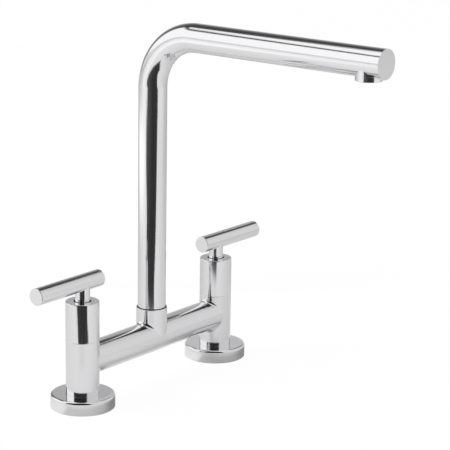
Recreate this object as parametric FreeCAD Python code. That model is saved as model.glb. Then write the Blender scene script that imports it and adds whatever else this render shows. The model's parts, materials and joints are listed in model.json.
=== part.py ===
import FreeCAD, Part

import math
import os

from FreeCAD import Vector

# A deck-mounted bridge mixer tap. Two valve pillars stand on the deck and are joined by a
# horizontal bridge. A swivel spout rises from the boss at the middle of the bridge, bends
# through a right angle and ends in an aerator. Each pillar carries a quarter-turn ceramic
# cartridge under a plain sleeve, turned by a T-bar handle.
#
# Frame: millimetres. The origin is on the deck, midway between the two pillars. +Z is up,
# +X runs along the bridge to the cold pillar, and the spout points along -Y.

# ---------------------------------------------------------------- driving dimensions

# Clearances
JOINT_FIT = 0.02        # brazed, pressed or seated joint, radial
THREAD_FIT = 0.05       # screwed joint, radial
RUNNING_FIT = 0.05      # shaft turning in its bore, radial
LAP_GAP = 0.05          # lapped or sliding faces, axial
FREE_GAP = 0.3          # parts that pass each other without touching

# Bridge casting: two pillars, the bridge and the spout boss
PILLAR_SPACING = 180.0  # distance between the two pillars and their deck holes
PILLAR_R = 14.3
BRIDGE_STEP = 0.65      # how much slimmer than the pillars the bridge is, in radius
BOSS_STEP = 0.1         # how much slimmer than the bridge the boss is, in radius
BRIDGE_Z = 39.9         # height of the bridge's axis
PILLAR_FOOT_Z = 3.5     # underside of the pillars, on the floor of the flange
PILLAR_TOP_Z = 59.1     # shoulder that the sleeve sits on
SPIGOT_R = 12.6         # threaded spigot inside the sleeve
SPIGOT_H = 5.0
BOSS_TOP_Z = 67.1
JUNCTION_BLEND = 3.0    # fillet where pillars, bridge and boss run together
BLEND_SHARE = 0.8       # most of the room above the bridge that the fillet takes
SEAM_BREAK = 0.2        # broken edge each side of the seam under the sleeve
WATERWAY_R = 5.5        # bore along the bridge
INLET_WAY_R = 6.0       # bore below the valve seat
VALVE_CHAMBER_R = 10.0  # chamber round the cartridge barrel
SEAT_DROP = 0.4         # valve seat below the bottom of the waterway
WELL_R = 7.0            # bore between the waterway and the spout tail
WELL_H = 7.2            # height of that bore above the bridge's axis

# Cover flange on the deck, with its gasket
FLANGE_R = 27.5
FLANGE_H = 11.8
FLANGE_HUB_R = 17.6     # inner hub that carries the pillar
FLANGE_RIM = 2.0        # wall of the outer rim
FLANGE_TOP = 2.3        # thickness of the top plate
FLANGE_EDGE = 2.2       # rounded top edge
FLANGE_HOLE_R = 11.0    # hole for the tail
GASKET_H = 3.0
GASKET_EASE = 0.1       # gasket clear of rim and hub

# Inlet tail and what clamps it to the deck
TAIL_R = 10.48          # major radius of the half-inch pipe thread
TAIL_SPIGOT_R = 8.5
TAIL_SPIGOT_H = 14.5    # length screwed into the pillar
TAIL_BORE_R = 5.8
TAIL_DROP = 60.0        # end of the tail below the deck
COUPLING_H = 12.0       # end thread that takes the supply connector
RELIEF_H = 2.0          # groove between the clamping thread and the end thread
RELIEF_DEPTH = 0.9
TAIL_CHAMFER = 0.8
DECK_T = 30.0           # deck thickness that the clamp is drawn at
CLAMP_GASKET_R = 18.0
CLAMP_GASKET_T = 3.0
CLAMP_WASHER_R = 19.0
CLAMP_WASHER_T = 1.5
WASHER_EASE = 0.4       # washers clear of the tail's thread
BACKNUT_FLATS = 27.0
BACKNUT_H = 8.0
BACKNUT_CHAMFER = 1.0

# Sleeve over the cartridge
SLEEVE_TOP_Z = 92.8
SLEEVE_BORE_R = 13.0
SLEEVE_ROOF = 2.5
SLEEVE_EDGE = 0.8       # rounded top edge
SLEEVE_HOLE_R = 7.5     # open ring round the handle's neck

# Ceramic cartridge
BARREL_R = 8.8
BARREL_BORE_R = 7.6
SEAL_PROUD = 0.6        # seat seal below the barrel's end
SEAT_SEAL_T = 2.4
SEAT_SEAL_HOLE_R = 5.2
DISC_EASE = 0.1         # discs clear of the barrel's bore
DISC_T = 2.8
PORT_IN_R = 3.0         # ports through the discs, as sectors
PORT_OUT_R = 6.4
PORT_SPAN = 60.0        # degrees
CAVITY_H = 9.0          # room above the moving disc
WINDOW_W = 8.0
WINDOW_H = 6.0
WINDOW_SILL = 0.6       # window above the moving disc
CARTRIDGE_THREAD_H = 10.0
CARTRIDGE_WASHER_T = 1.0
CARTRIDGE_WASHER_R = 12.3
CARTRIDGE_FLATS = 22.0
CARTRIDGE_HEX_H = 5.0
CARTRIDGE_NECK_R = 6.5
CARTRIDGE_NECK_H = 3.5

# Spindle, its seal and its circlip
SPINDLE_R = 4.5
TANG_W = 4.4
TANG_L = 12.0
TANG_DEPTH = 1.2        # tang into the slot of the moving disc
TANG_EASE = 0.05
COLLAR_R = 7.0
COLLAR_H = 2.5
ORING_T = 1.8           # section of the spindle's O-ring
ORING_BITE = 1.4        # depth of its groove
ORING_EASE = 0.25       # chamfer of a squeezed O-ring, as a share of its width
ORING_ABOVE_CAVITY = 8.0
CIRCLIP_T = 1.0
CIRCLIP_R = 6.2
CIRCLIP_GROOVE = 0.8
CIRCLIP_GAP = 60.0      # opening of the clip, degrees
CIRCLIP_MOUTH = 90.0    # direction of the opening, degrees from +X
CIRCLIP_LAND = 2.0      # plain spindle above the circlip
SPLINE_TEETH = 20
SPLINE_TIP_R = 3.9
SPLINE_ROOT_R = 3.45

# Handle: neck and T-bar
NECK_R = 6.5
NECK_FOOT_Z = 80.0
BAR_R = 7.25
BAR_Z = 108.5           # height of the bar's axis
BAR_LONG = 56.0         # outer end, from the pillar's axis
BAR_SHORT = 20.8        # inner end, from the pillar's axis
BAR_EDGE = 0.5          # rounded ends
STUD_R = 3.0            # neck's stud inside the bar
STUD_H = 8.0
GRUB_R = 2.0
GRUB_KEY = 2.0          # across the flats of the key socket
GRUB_KEY_DEPTH = 1.2
GRUB_SUNK = 0.25        # screw end below the surface
BORE_ABOVE_GRUB = 2.6   # top of the splined bore above the grub screw's axis
SPINDLE_END_GAP = 0.5

# Spout
SPOUT_R = 12.3
SPOUT_WALL = 1.2
BEND_R = 47.5           # centreline of the bend
ARM_Z = 309.1           # height of the arm's axis
ARM_REACH = 235.1       # end face of the arm from the riser's axis
END_CAP_T = 2.5
BUSH_R = 12.9           # flange of the swivel bush, seen as a dark line under the riser
BUSH_FLANGE_T = 0.5
BUSH_SLEEVE_R = 10.5
BUSH_SLEEVE_H = 5.0
SWIVEL_R = 9.5          # spout tail inside the boss
SWIVEL_BORE_R = 6.2
SWIVEL_DROP = 19.0      # end of the tail below the riser
SWIVEL_PLUG_H = 11.0    # tail brazed into the riser
KEEPER_DROP = 7.7       # retaining groove below the riser, to its middle
KEEPER_W = 3.0
KEEPER_DEPTH = 1.3
SWIVEL_SEAL_DROPS = (12.2, 16.2)  # O-ring grooves below the riser
SWIVEL_SEAL_T = 1.8
SET_SCREW_R = 2.0
SET_SCREW_TIP_R = 1.2
SET_SCREW_TIP_H = 1.6
SET_SCREW_KEY = 2.0
SET_SCREW_KEY_DEPTH = 1.6

# Outlet and aerator
OUTLET_SETBACK = 15.8   # outlet's axis from the end face of the arm
OUTLET_DROP = 14.5      # mouth of the aerator below the arm's axis
OUTLET_R = 11.0
AERATOR_H = 4.4         # height of the aerator's outer ring
SOCKET_H = 7.0          # outlet socket inside the arm
SOCKET_THREAD_R = 9.6
SOCKET_WAY_R = 8.4
SOCKET_THREAD_H = 5.6
HOUSING_THREAD_H = 4.0
HOUSING_BORE_R = 8.25
HOUSING_LIP_R = 7.7
HOUSING_LIP_H = 0.8
HOUSING_EDGE = 0.4
INSERT_H = 6.2
INSERT_HOLE_R = 0.8
INSERT_RINGS = ((1, 0.0), (6, 3.0), (12, 6.0))  # number of holes and radius of each ring
AERATOR_WASHER_T = 1.5
AERATOR_WASHER_HOLE_R = 6.8

# ---------------------------------------------------------------- derived sizes

HALF_SPACING = PILLAR_SPACING / 2
BRIDGE_R = PILLAR_R - BRIDGE_STEP
BOSS_R = BRIDGE_R - BOSS_STEP
BRIDGE_CROWN_Z = BRIDGE_Z + BRIDGE_R
SPIGOT_TOP_Z = PILLAR_TOP_Z + SPIGOT_H
SEAT_Z = BRIDGE_Z - WATERWAY_R - SEAT_DROP

BARREL_FOOT_Z = SEAT_Z + SEAL_PROUD
FIXED_DISC_Z = SEAT_Z + SEAT_SEAL_T
MOVING_DISC_Z = FIXED_DISC_Z + DISC_T + LAP_GAP
DISC_TOP_Z = MOVING_DISC_Z + DISC_T
CAVITY_TOP_Z = DISC_TOP_Z + CAVITY_H
DISC_R = BARREL_BORE_R - DISC_EASE
HEX_Z = SPIGOT_TOP_Z + CARTRIDGE_WASHER_T
CARTRIDGE_THREAD_Z = HEX_Z - CARTRIDGE_THREAD_H
CARTRIDGE_NECK_Z = HEX_Z + CARTRIDGE_HEX_H
CARTRIDGE_TOP_Z = CARTRIDGE_NECK_Z + CARTRIDGE_NECK_H
CIRCLIP_Z = CARTRIDGE_TOP_Z + LAP_GAP
SPLINE_Z = CIRCLIP_Z + CIRCLIP_T + CIRCLIP_LAND

BAR_UNDERSIDE_Z = BAR_Z - BAR_R
GRUB_Z = (SLEEVE_TOP_Z + BAR_UNDERSIDE_Z) / 2
SPLINE_BORE_TOP_Z = GRUB_Z + BORE_ABOVE_GRUB
SPINDLE_TOP_Z = SPLINE_BORE_TOP_Z - SPINDLE_END_GAP

RISER_Z = BOSS_TOP_Z + BUSH_FLANGE_T + LAP_GAP
SPOUT_BORE_R = SPOUT_R - SPOUT_WALL
SWIVEL_WELL_R = SWIVEL_R + RUNNING_FIT
KEEPER_Z = RISER_Z - KEEPER_DROP
OUTLET_REACH = ARM_REACH - OUTLET_SETBACK
OUTLET_Z = ARM_Z - OUTLET_DROP
SOCKET_Z = OUTLET_Z + AERATOR_H
INSERT_Z = OUTLET_Z + HOUSING_LIP_H
HOUSING_TOP_Z = SOCKET_Z + HOUSING_THREAD_H

UNDER_DECK_Z = -DECK_T
CLAMP_WASHER_Z = UNDER_DECK_Z - CLAMP_GASKET_T
BACKNUT_TOP_Z = CLAMP_WASHER_Z - CLAMP_WASHER_T

SIDES = {"hot": -1, "cold": 1}  # which way along X each pillar stands from the middle
HALF_TURN = 180                 # degrees
SAME = 1e-4                     # two lengths closer than this are equal
PAST = 1.0                      # how far a cutter runs past the face that it opens

X_AXIS = Vector(1, 0, 0)
Y_AXIS = Vector(0, 1, 0)
Z_AXIS = Vector(0, 0, 1)


# ---------------------------------------------------------------- basic forms


def rod(radius, low, high):
    """Upright cylinder on the Z axis between two heights."""
    return Part.makeCylinder(radius, high - low, Vector(0, 0, low))


def ring(outer, inner, low, high):
    """Upright tube on the Z axis between two heights."""
    return rod(outer, low, high).cut(rod(inner, low - PAST, high + PAST))


def turned(outline):
    """Solid turned about the Z axis from a closed outline of (radius, height) points."""
    points = [Vector(radius, 0, height) for radius, height in outline]
    face = Part.Face(Part.makePolygon(points + points[:1]))
    return face.revolve(Vector(0, 0, 0), Z_AXIS, 360)


def prism(points, low, high):
    """Upright prism over a closed outline of (x, y) points."""
    corners = [Vector(x, y, low) for x, y in points]
    return Part.Face(Part.makePolygon(corners + corners[:1])).extrude(Vector(0, 0, high - low))


def hexagon(flats, low, high):
    """Upright hexagonal bar by its size across the flats."""
    corner = flats / math.sqrt(3)
    angles = [math.radians(60 * i) for i in range(6)]
    return prism([(corner * math.cos(a), corner * math.sin(a)) for a in angles], low, high)


def block(length, width, low, high):
    """Upright box centred on the Z axis, length along X and width along Y."""
    return prism(
        [
            (-length / 2, -width / 2),
            (length / 2, -width / 2),
            (length / 2, width / 2),
            (-length / 2, width / 2),
        ],
        low,
        high,
    )


def sector(inner, outer, middle, span, low, high):
    """Part of a ring, span degrees wide about the direction middle."""
    wedge = Part.makeCylinder(outer, high - low, Vector(0, 0, low), Z_AXIS, span)
    wedge.rotate(Vector(0, 0, 0), Z_AXIS, middle - span / 2)
    return wedge.cut(rod(inner, low - PAST, high + PAST))


def splined(tip, root, low, high):
    """Splined bar: a star of SPLINE_TEETH teeth."""
    step = math.pi / SPLINE_TEETH
    points = []
    for i in range(2 * SPLINE_TEETH):
        radius = root if i % 2 else tip
        points.append((radius * math.cos(i * step), radius * math.sin(i * step)))
    return prism(points, low, high)


def circles(shape, radius, height):
    """The shape's circular edges of a given radius about the Z axis at a given height."""
    found = []
    for edge in shape.Edges:
        curve = edge.Curve
        if curve.TypeId != "Part::GeomCircle":
            continue
        if abs(curve.Radius - radius) < SAME and abs(curve.Center.z - height) < SAME:
            found.append(edge)
    return found


def rounded(shape, radius, height, size):
    """The shape with the edge of that radius and height rounded."""
    return shape.makeFillet(size, circles(shape, radius, height))


def chamfered(shape, radius, height, size):
    """The shape with the edge of that radius and height chamfered."""
    return shape.makeChamfer(size, circles(shape, radius, height))


def moved(shape, x=0.0, y=0.0, z=0.0):
    """A copy of the shape moved along the axes."""
    copy = shape.copy()
    copy.translate(Vector(x, y, z))
    return copy


def radial_screw(radius, near, far, key, key_depth, tip_radius=0.0, tip=0.0):
    """Headless screw along +Y from near to far, with a key socket at its far end."""
    body = rod(radius, near + tip, far)
    if tip:
        body = body.fuse(rod(tip_radius, near, near + tip))
    body = body.cut(hexagon(key, far - key_depth, far + PAST))
    body.rotate(Vector(0, 0, 0), X_AXIS, -90)
    return body


# ---------------------------------------------------------------- bridge casting


def along_bridge(radius):
    """Level rod from one pillar's axis to the other's."""
    return Part.makeCylinder(radius, PILLAR_SPACING, Vector(-HALF_SPACING, 0, BRIDGE_Z), X_AXIS)


def casting_outside():
    """Outer form of the pillars, bridge and boss, with the junctions blended."""
    pillar = rod(PILLAR_R, PILLAR_FOOT_Z, PILLAR_TOP_Z)
    pillars = [moved(pillar, sign * HALF_SPACING) for sign in SIDES.values()]
    bridge = along_bridge(BRIDGE_R)
    boss = rod(BOSS_R, BRIDGE_Z, BOSS_TOP_Z)
    body = bridge.multiFuse(pillars + [boss]).removeSplitter()
    plain = ("Part::GeomCircle", "Part::GeomLine")
    junctions = [e for e in body.Edges if e.Curve.TypeId not in plain]
    room = min(PILLAR_TOP_Z, BOSS_TOP_Z) - BRIDGE_CROWN_Z
    body = body.makeFillet(min(JUNCTION_BLEND, BLEND_SHARE * room), junctions)
    return chamfered(body, PILLAR_R, PILLAR_TOP_Z, SEAM_BREAK)


def pillar_bores():
    """Everything bored down a pillar: tail thread, inlet, valve chamber, cartridge thread."""
    tail_top = PILLAR_FOOT_Z + TAIL_SPIGOT_H
    thread_r = TAIL_R + THREAD_FIT
    return turned(
        [
            (0, PILLAR_FOOT_Z - PAST),
            (TAIL_SPIGOT_R + THREAD_FIT, PILLAR_FOOT_Z - PAST),
            (TAIL_SPIGOT_R + THREAD_FIT, tail_top),
            (INLET_WAY_R, tail_top),
            (INLET_WAY_R, SEAT_Z),
            (VALVE_CHAMBER_R, SEAT_Z),
            (VALVE_CHAMBER_R, CARTRIDGE_THREAD_Z - PAST),
            (thread_r, CARTRIDGE_THREAD_Z - PAST),
            (thread_r, SPIGOT_TOP_Z + PAST),
            (0, SPIGOT_TOP_Z + PAST),
        ]
    )


def boss_bores():
    """Swivel well of the boss, with the seat of the bush above it."""
    well_top = BRIDGE_Z + WELL_H
    bush_foot = BOSS_TOP_Z - BUSH_SLEEVE_H
    return turned(
        [
            (0, BRIDGE_Z),
            (WELL_R, BRIDGE_Z),
            (WELL_R, well_top),
            (SWIVEL_WELL_R, well_top),
            (SWIVEL_WELL_R, bush_foot),
            (BUSH_SLEEVE_R + JOINT_FIT, bush_foot),
            (BUSH_SLEEVE_R + JOINT_FIT, BOSS_TOP_Z + PAST),
            (0, BOSS_TOP_Z + PAST),
        ]
    )


def bridge_body():
    """The casting: two pillars, the bridge and the boss in one piece, bored for water."""
    body = casting_outside()
    spigot = rod(SPIGOT_R, PILLAR_TOP_Z - PAST, SPIGOT_TOP_Z)
    for sign in SIDES.values():
        body = body.fuse(moved(spigot, sign * HALF_SPACING))
    for sign in SIDES.values():
        body = body.cut(moved(pillar_bores(), sign * HALF_SPACING))
    body = body.cut(along_bridge(WATERWAY_R))
    body = body.cut(boss_bores())
    screw_start = Vector(0, SWIVEL_R / 2, KEEPER_Z)
    screw_hole = Part.makeCylinder(SET_SCREW_R + THREAD_FIT, BOSS_R, screw_start, Y_AXIS)
    return body.cut(screw_hole)


def spout_bush():
    """Flanged nylon bush that the spout turns in."""
    liner = ring(BUSH_SLEEVE_R, SWIVEL_WELL_R, BOSS_TOP_Z - BUSH_SLEEVE_H, BOSS_TOP_Z)
    rim = ring(BUSH_R, SWIVEL_WELL_R, BOSS_TOP_Z, BOSS_TOP_Z + BUSH_FLANGE_T)
    return liner.fuse(rim).removeSplitter()


def spout_set_screw():
    """Screw in the back of the boss whose tip stands in the spout's retaining groove."""
    screw = radial_screw(
        SET_SCREW_R,
        SWIVEL_R - KEEPER_DEPTH + FREE_GAP,
        BOSS_R - FREE_GAP,
        SET_SCREW_KEY,
        SET_SCREW_KEY_DEPTH,
        SET_SCREW_TIP_R,
        SET_SCREW_TIP_H,
    )
    return moved(screw, z=KEEPER_Z)


# ---------------------------------------------------------------- parts of a pillar
# Each is drawn about the Z axis and moved to its pillar at the end.


def sleeve():
    """Plain sleeve screwed on the pillar's spigot, with a ring of air round the neck."""
    roof_z = SLEEVE_TOP_Z - SLEEVE_ROOF
    shell = turned(
        [
            (SPIGOT_R + THREAD_FIT, PILLAR_TOP_Z),
            (PILLAR_R, PILLAR_TOP_Z),
            (PILLAR_R, SLEEVE_TOP_Z),
            (SLEEVE_HOLE_R, SLEEVE_TOP_Z),
            (SLEEVE_HOLE_R, roof_z),
            (SLEEVE_BORE_R, roof_z),
            (SLEEVE_BORE_R, SPIGOT_TOP_Z),
            (SPIGOT_R + THREAD_FIT, SPIGOT_TOP_Z),
        ]
    )
    shell = rounded(shell, PILLAR_R, SLEEVE_TOP_Z, SLEEVE_EDGE)
    return chamfered(shell, PILLAR_R, PILLAR_TOP_Z, SEAM_BREAK)


def flange():
    """Round cover plate: a hollow disc whose hub is clamped under the pillar."""
    well_r = PILLAR_R + THREAD_FIT
    hollow_top = FLANGE_H - FLANGE_TOP
    rim_in = FLANGE_R - FLANGE_RIM
    plate = turned(
        [
            (FLANGE_HOLE_R, 0),
            (FLANGE_HUB_R, 0),
            (FLANGE_HUB_R, hollow_top),
            (rim_in, hollow_top),
            (rim_in, 0),
            (FLANGE_R, 0),
            (FLANGE_R, FLANGE_H),
            (well_r, FLANGE_H),
            (well_r, PILLAR_FOOT_Z),
            (FLANGE_HOLE_R, PILLAR_FOOT_Z),
        ]
    )
    return rounded(plate, FLANGE_R, FLANGE_H, FLANGE_EDGE)


def flange_gasket():
    """Rubber ring in the hollow of the flange, flush with its rim."""
    return ring(FLANGE_R - FLANGE_RIM - GASKET_EASE, FLANGE_HUB_R + GASKET_EASE, 0, GASKET_H)


def inlet_tail():
    """Threaded inlet tail: spigot in the pillar, clamping thread, relief and end thread."""
    end_z = -TAIL_DROP
    coupling_z = end_z + COUPLING_H
    relief_r = TAIL_R - RELIEF_DEPTH
    return turned(
        [
            (TAIL_BORE_R, end_z),
            (TAIL_R - TAIL_CHAMFER, end_z),
            (TAIL_R, end_z + TAIL_CHAMFER),
            (TAIL_R, coupling_z),
            (relief_r, coupling_z),
            (relief_r, coupling_z + RELIEF_H),
            (TAIL_R, coupling_z + RELIEF_H),
            (TAIL_R, PILLAR_FOOT_Z),
            (TAIL_SPIGOT_R, PILLAR_FOOT_Z),
            (TAIL_SPIGOT_R, PILLAR_FOOT_Z + TAIL_SPIGOT_H),
            (TAIL_BORE_R, PILLAR_FOOT_Z + TAIL_SPIGOT_H),
        ]
    )


def clamp_gasket():
    """Rubber washer under the deck."""
    return ring(CLAMP_GASKET_R, TAIL_R + WASHER_EASE, CLAMP_WASHER_Z, UNDER_DECK_Z)


def clamp_washer():
    """Steel washer between the rubber and the nut."""
    return ring(CLAMP_WASHER_R, TAIL_R + WASHER_EASE, BACKNUT_TOP_Z, CLAMP_WASHER_Z)


def backnut():
    """Hexagonal nut with chamfered corners."""
    foot_z = BACKNUT_TOP_Z - BACKNUT_H
    corner = BACKNUT_FLATS / math.sqrt(3)
    crown = turned(
        [
            (0, foot_z),
            (corner - BACKNUT_CHAMFER, foot_z),
            (corner, foot_z + BACKNUT_CHAMFER),
            (corner, BACKNUT_TOP_Z),
            (0, BACKNUT_TOP_Z),
        ]
    )
    nut = hexagon(BACKNUT_FLATS, foot_z, BACKNUT_TOP_Z).common(crown)
    return nut.cut(rod(TAIL_R + THREAD_FIT, foot_z - PAST, BACKNUT_TOP_Z + PAST))


# ---------------------------------------------------------------- cartridge


def cartridge_body():
    """Cartridge: barrel with two windows, pipe thread, hexagon and neck."""
    shell = turned(
        [
            (BARREL_BORE_R, BARREL_FOOT_Z),
            (BARREL_R, BARREL_FOOT_Z),
            (BARREL_R, CARTRIDGE_THREAD_Z),
            (TAIL_R, CARTRIDGE_THREAD_Z),
            (TAIL_R, HEX_Z + PAST),
            (CARTRIDGE_NECK_R, HEX_Z + PAST),
            (CARTRIDGE_NECK_R, CARTRIDGE_TOP_Z),
            (SPINDLE_R + RUNNING_FIT, CARTRIDGE_TOP_Z),
            (SPINDLE_R + RUNNING_FIT, CAVITY_TOP_Z),
            (BARREL_BORE_R, CAVITY_TOP_Z),
        ]
    )
    nut = hexagon(CARTRIDGE_FLATS, HEX_Z, CARTRIDGE_NECK_Z)
    nut = nut.cut(rod(CARTRIDGE_NECK_R, HEX_Z - PAST, CARTRIDGE_NECK_Z + PAST))
    shell = shell.fuse(nut).removeSplitter()
    sill = DISC_TOP_Z + WINDOW_SILL
    return shell.cut(block(2 * VALVE_CHAMBER_R, WINDOW_W, sill, sill + WINDOW_H))


def cartridge_washer():
    """Sealing washer between the cartridge's hexagon and the pillar."""
    return ring(CARTRIDGE_WASHER_R, TAIL_R + THREAD_FIT, SPIGOT_TOP_Z, HEX_Z)


def seat_seal():
    """Rubber ring between the fixed disc and the valve seat."""
    return ring(DISC_R, SEAT_SEAL_HOLE_R, SEAT_Z, FIXED_DISC_Z)


def ceramic_disc(low, middle):
    """Ceramic disc with two ports, opposite each other."""
    high = low + DISC_T
    disc = rod(DISC_R, low, high)
    for way in (middle, middle + HALF_TURN):
        disc = disc.cut(sector(PORT_IN_R, PORT_OUT_R, way, PORT_SPAN, low - PAST, high + PAST))
    return disc


def fixed_disc():
    """Disc that stays in the barrel, its ports along X."""
    return ceramic_disc(FIXED_DISC_Z, 0)


def moving_disc():
    """Disc that turns with the spindle, its ports across those of the fixed disc when shut."""
    slot_z = DISC_TOP_Z - TANG_DEPTH
    slot = block(TANG_L + 2 * TANG_EASE, TANG_W + 2 * TANG_EASE, slot_z, DISC_TOP_Z + PAST)
    return ceramic_disc(MOVING_DISC_Z, 90).cut(slot)


def oring_groove_z():
    """Middle height of the spindle's O-ring groove."""
    return CAVITY_TOP_Z + ORING_ABOVE_CAVITY


def spindle():
    """Spindle: tang, collar, journal with O-ring and circlip grooves, splined head."""
    collar_top = CAVITY_TOP_Z - LAP_GAP
    tang = block(TANG_L, TANG_W, DISC_TOP_Z - TANG_DEPTH, collar_top - COLLAR_H)
    seal_z = oring_groove_z()
    seal_root = SPINDLE_R - ORING_BITE
    clip_root = SPINDLE_R - CIRCLIP_GROOVE
    shaft = turned(
        [
            (0, collar_top - COLLAR_H),
            (COLLAR_R, collar_top - COLLAR_H),
            (COLLAR_R, collar_top),
            (SPINDLE_R, collar_top),
            (SPINDLE_R, seal_z - ORING_T / 2),
            (seal_root, seal_z - ORING_T / 2),
            (seal_root, seal_z + ORING_T / 2),
            (SPINDLE_R, seal_z + ORING_T / 2),
            (SPINDLE_R, CIRCLIP_Z),
            (clip_root, CIRCLIP_Z),
            (clip_root, CIRCLIP_Z + CIRCLIP_T),
            (SPINDLE_R, CIRCLIP_Z + CIRCLIP_T),
            (SPINDLE_R, SPLINE_Z),
            (0, SPLINE_Z),
        ]
    )
    head = splined(SPLINE_TIP_R, SPLINE_ROOT_R, SPLINE_Z, SPINDLE_TOP_Z)
    return shaft.fuse(tang).fuse(head).removeSplitter()


def squeezed_oring(outer, inner, middle, thickness):
    """O-ring squeezed in its groove: a ring whose outer corners are chamfered."""
    low, high = middle - thickness / 2, middle + thickness / 2
    ease = ORING_EASE * (outer - inner)
    return turned(
        [
            (inner, low),
            (outer - ease, low),
            (outer, low + ease),
            (outer, high - ease),
            (outer - ease, high),
            (inner, high),
        ]
    )


def spindle_oring():
    """O-ring that seals the spindle in the cartridge."""
    return squeezed_oring(SPINDLE_R, SPINDLE_R - ORING_BITE, oring_groove_z(), ORING_T)


def circlip():
    """Open ring that keeps the spindle down."""
    root = SPINDLE_R - CIRCLIP_GROOVE
    low, high = CIRCLIP_Z, CIRCLIP_Z + CIRCLIP_T
    clip = ring(CIRCLIP_R, root, low, high)
    mouth = sector(root / 2, CIRCLIP_R + PAST, CIRCLIP_MOUTH, CIRCLIP_GAP, low - PAST, high + PAST)
    return clip.cut(mouth)


# ---------------------------------------------------------------- handle


def bar_along_x(radius, start, end):
    """Level rod at the height of the T-bar."""
    return Part.makeCylinder(radius, end - start, Vector(start, 0, BAR_Z), X_AXIS)


def handle_neck():
    """Neck: splined bore below, saddle and stud for the T-bar above."""
    neck = rod(NECK_R, NECK_FOOT_Z, BAR_Z)
    neck = neck.cut(bar_along_x(BAR_R + JOINT_FIT, -NECK_R - PAST, NECK_R + PAST))
    neck = neck.fuse(rod(STUD_R, SPLINE_BORE_TOP_Z + FREE_GAP, BAR_UNDERSIDE_Z + STUD_H))
    bore = splined(
        SPLINE_TIP_R + THREAD_FIT, SPLINE_ROOT_R + THREAD_FIT, NECK_FOOT_Z - PAST, SPLINE_BORE_TOP_Z
    )
    neck = neck.cut(bore)
    hole_start = Vector(0, SPLINE_ROOT_R, GRUB_Z)
    return neck.cut(Part.makeCylinder(GRUB_R + THREAD_FIT, NECK_R, hole_start, Y_AXIS))


def handle_bar(outward):
    """T-bar, long end outwards, with a blind hole for the neck's stud."""
    if outward > 0:
        start, end = -BAR_SHORT, BAR_LONG
    else:
        start, end = -BAR_LONG, BAR_SHORT
    bar = bar_along_x(BAR_R, start, end)
    ends = [e for e in bar.Edges if e.Curve.TypeId == "Part::GeomCircle"]
    bar = bar.makeFillet(BAR_EDGE, ends)
    hole_top = BAR_UNDERSIDE_Z + STUD_H + FREE_GAP
    return bar.cut(rod(STUD_R + JOINT_FIT, BAR_UNDERSIDE_Z - PAST, hole_top))


def grub_screw():
    """Grub screw in the back of the neck, bearing on the spindle."""
    screw = radial_screw(
        GRUB_R, SPLINE_TIP_R + JOINT_FIT, NECK_R - GRUB_SUNK, GRUB_KEY, GRUB_KEY_DEPTH
    )
    return moved(screw, z=GRUB_Z)


# ---------------------------------------------------------------- spout


def bent_rod(radius, start_z, reach):
    """Rod that rises from start_z, bends towards -Y and runs level to the given reach."""
    bend_z = ARM_Z - BEND_R
    riser = rod(radius, start_z, bend_z)
    section = Part.Face(Part.Wire(Part.makeCircle(radius, Vector(0, 0, bend_z), Z_AXIS)))
    bend = section.revolve(Vector(0, -BEND_R, bend_z), X_AXIS, 90)
    arm = Part.makeCylinder(radius, reach - BEND_R, Vector(0, -BEND_R, ARM_Z), -Y_AXIS)
    return riser.fuse(bend).fuse(arm)


def spout_tube():
    """One bent tube: riser, bend and arm, with a round opening under its end."""
    tube = bent_rod(SPOUT_R, RISER_Z, ARM_REACH)
    tube = tube.cut(bent_rod(SPOUT_BORE_R, RISER_Z - PAST, ARM_REACH + PAST))
    opening = moved(rod(OUTLET_R + JOINT_FIT, OUTLET_Z - PAST, ARM_Z), y=-OUTLET_REACH)
    return tube.cut(opening)


def spout_tail():
    """Turned tail brazed into the riser: journal, retaining groove and two seal grooves."""
    foot_z = RISER_Z - SWIVEL_DROP
    plug_top = RISER_Z + SWIVEL_PLUG_H
    keeper_root = SWIVEL_R - KEEPER_DEPTH
    seal_root = SWIVEL_R - SWIVEL_SEAL_T
    tail = turned(
        [
            (SWIVEL_BORE_R, foot_z),
            (SWIVEL_R, foot_z),
            (SWIVEL_R, KEEPER_Z - KEEPER_W / 2),
            (keeper_root, KEEPER_Z - KEEPER_W / 2),
            (keeper_root, KEEPER_Z + KEEPER_W / 2),
            (SWIVEL_R, KEEPER_Z + KEEPER_W / 2),
            (SWIVEL_R, RISER_Z),
            (SPOUT_BORE_R - JOINT_FIT, RISER_Z),
            (SPOUT_BORE_R - JOINT_FIT, plug_top),
            (SWIVEL_BORE_R, plug_top),
        ]
    )
    for drop in SWIVEL_SEAL_DROPS:
        middle = RISER_Z - drop
        low, high = middle - SWIVEL_SEAL_T / 2, middle + SWIVEL_SEAL_T / 2
        tail = tail.cut(ring(SWIVEL_R + PAST, seal_root, low, high))
    return tail


def spout_tail_orings():
    """The two O-rings of the tail, as separate solids."""
    root = SWIVEL_R - SWIVEL_SEAL_T
    middles = [RISER_Z - drop for drop in SWIVEL_SEAL_DROPS]
    return Part.makeCompound([squeezed_oring(SWIVEL_R, root, z, SWIVEL_SEAL_T) for z in middles])


def spout_end_cap():
    """Disc brazed flush in the end of the arm."""
    return Part.makeCylinder(
        SPOUT_BORE_R - JOINT_FIT, END_CAP_T, Vector(0, -ARM_REACH, ARM_Z), Y_AXIS
    )


def outlet_socket():
    """Threaded socket brazed into the arm's opening, above the aerator."""
    top_z = SOCKET_Z + SOCKET_H
    socket = turned(
        [
            (SOCKET_THREAD_R, SOCKET_Z),
            (OUTLET_R, SOCKET_Z),
            (OUTLET_R, top_z),
            (SOCKET_WAY_R, top_z),
            (SOCKET_WAY_R, SOCKET_Z + SOCKET_THREAD_H),
            (SOCKET_THREAD_R, SOCKET_Z + SOCKET_THREAD_H),
        ]
    )
    return moved(socket, y=-OUTLET_REACH)


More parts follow.
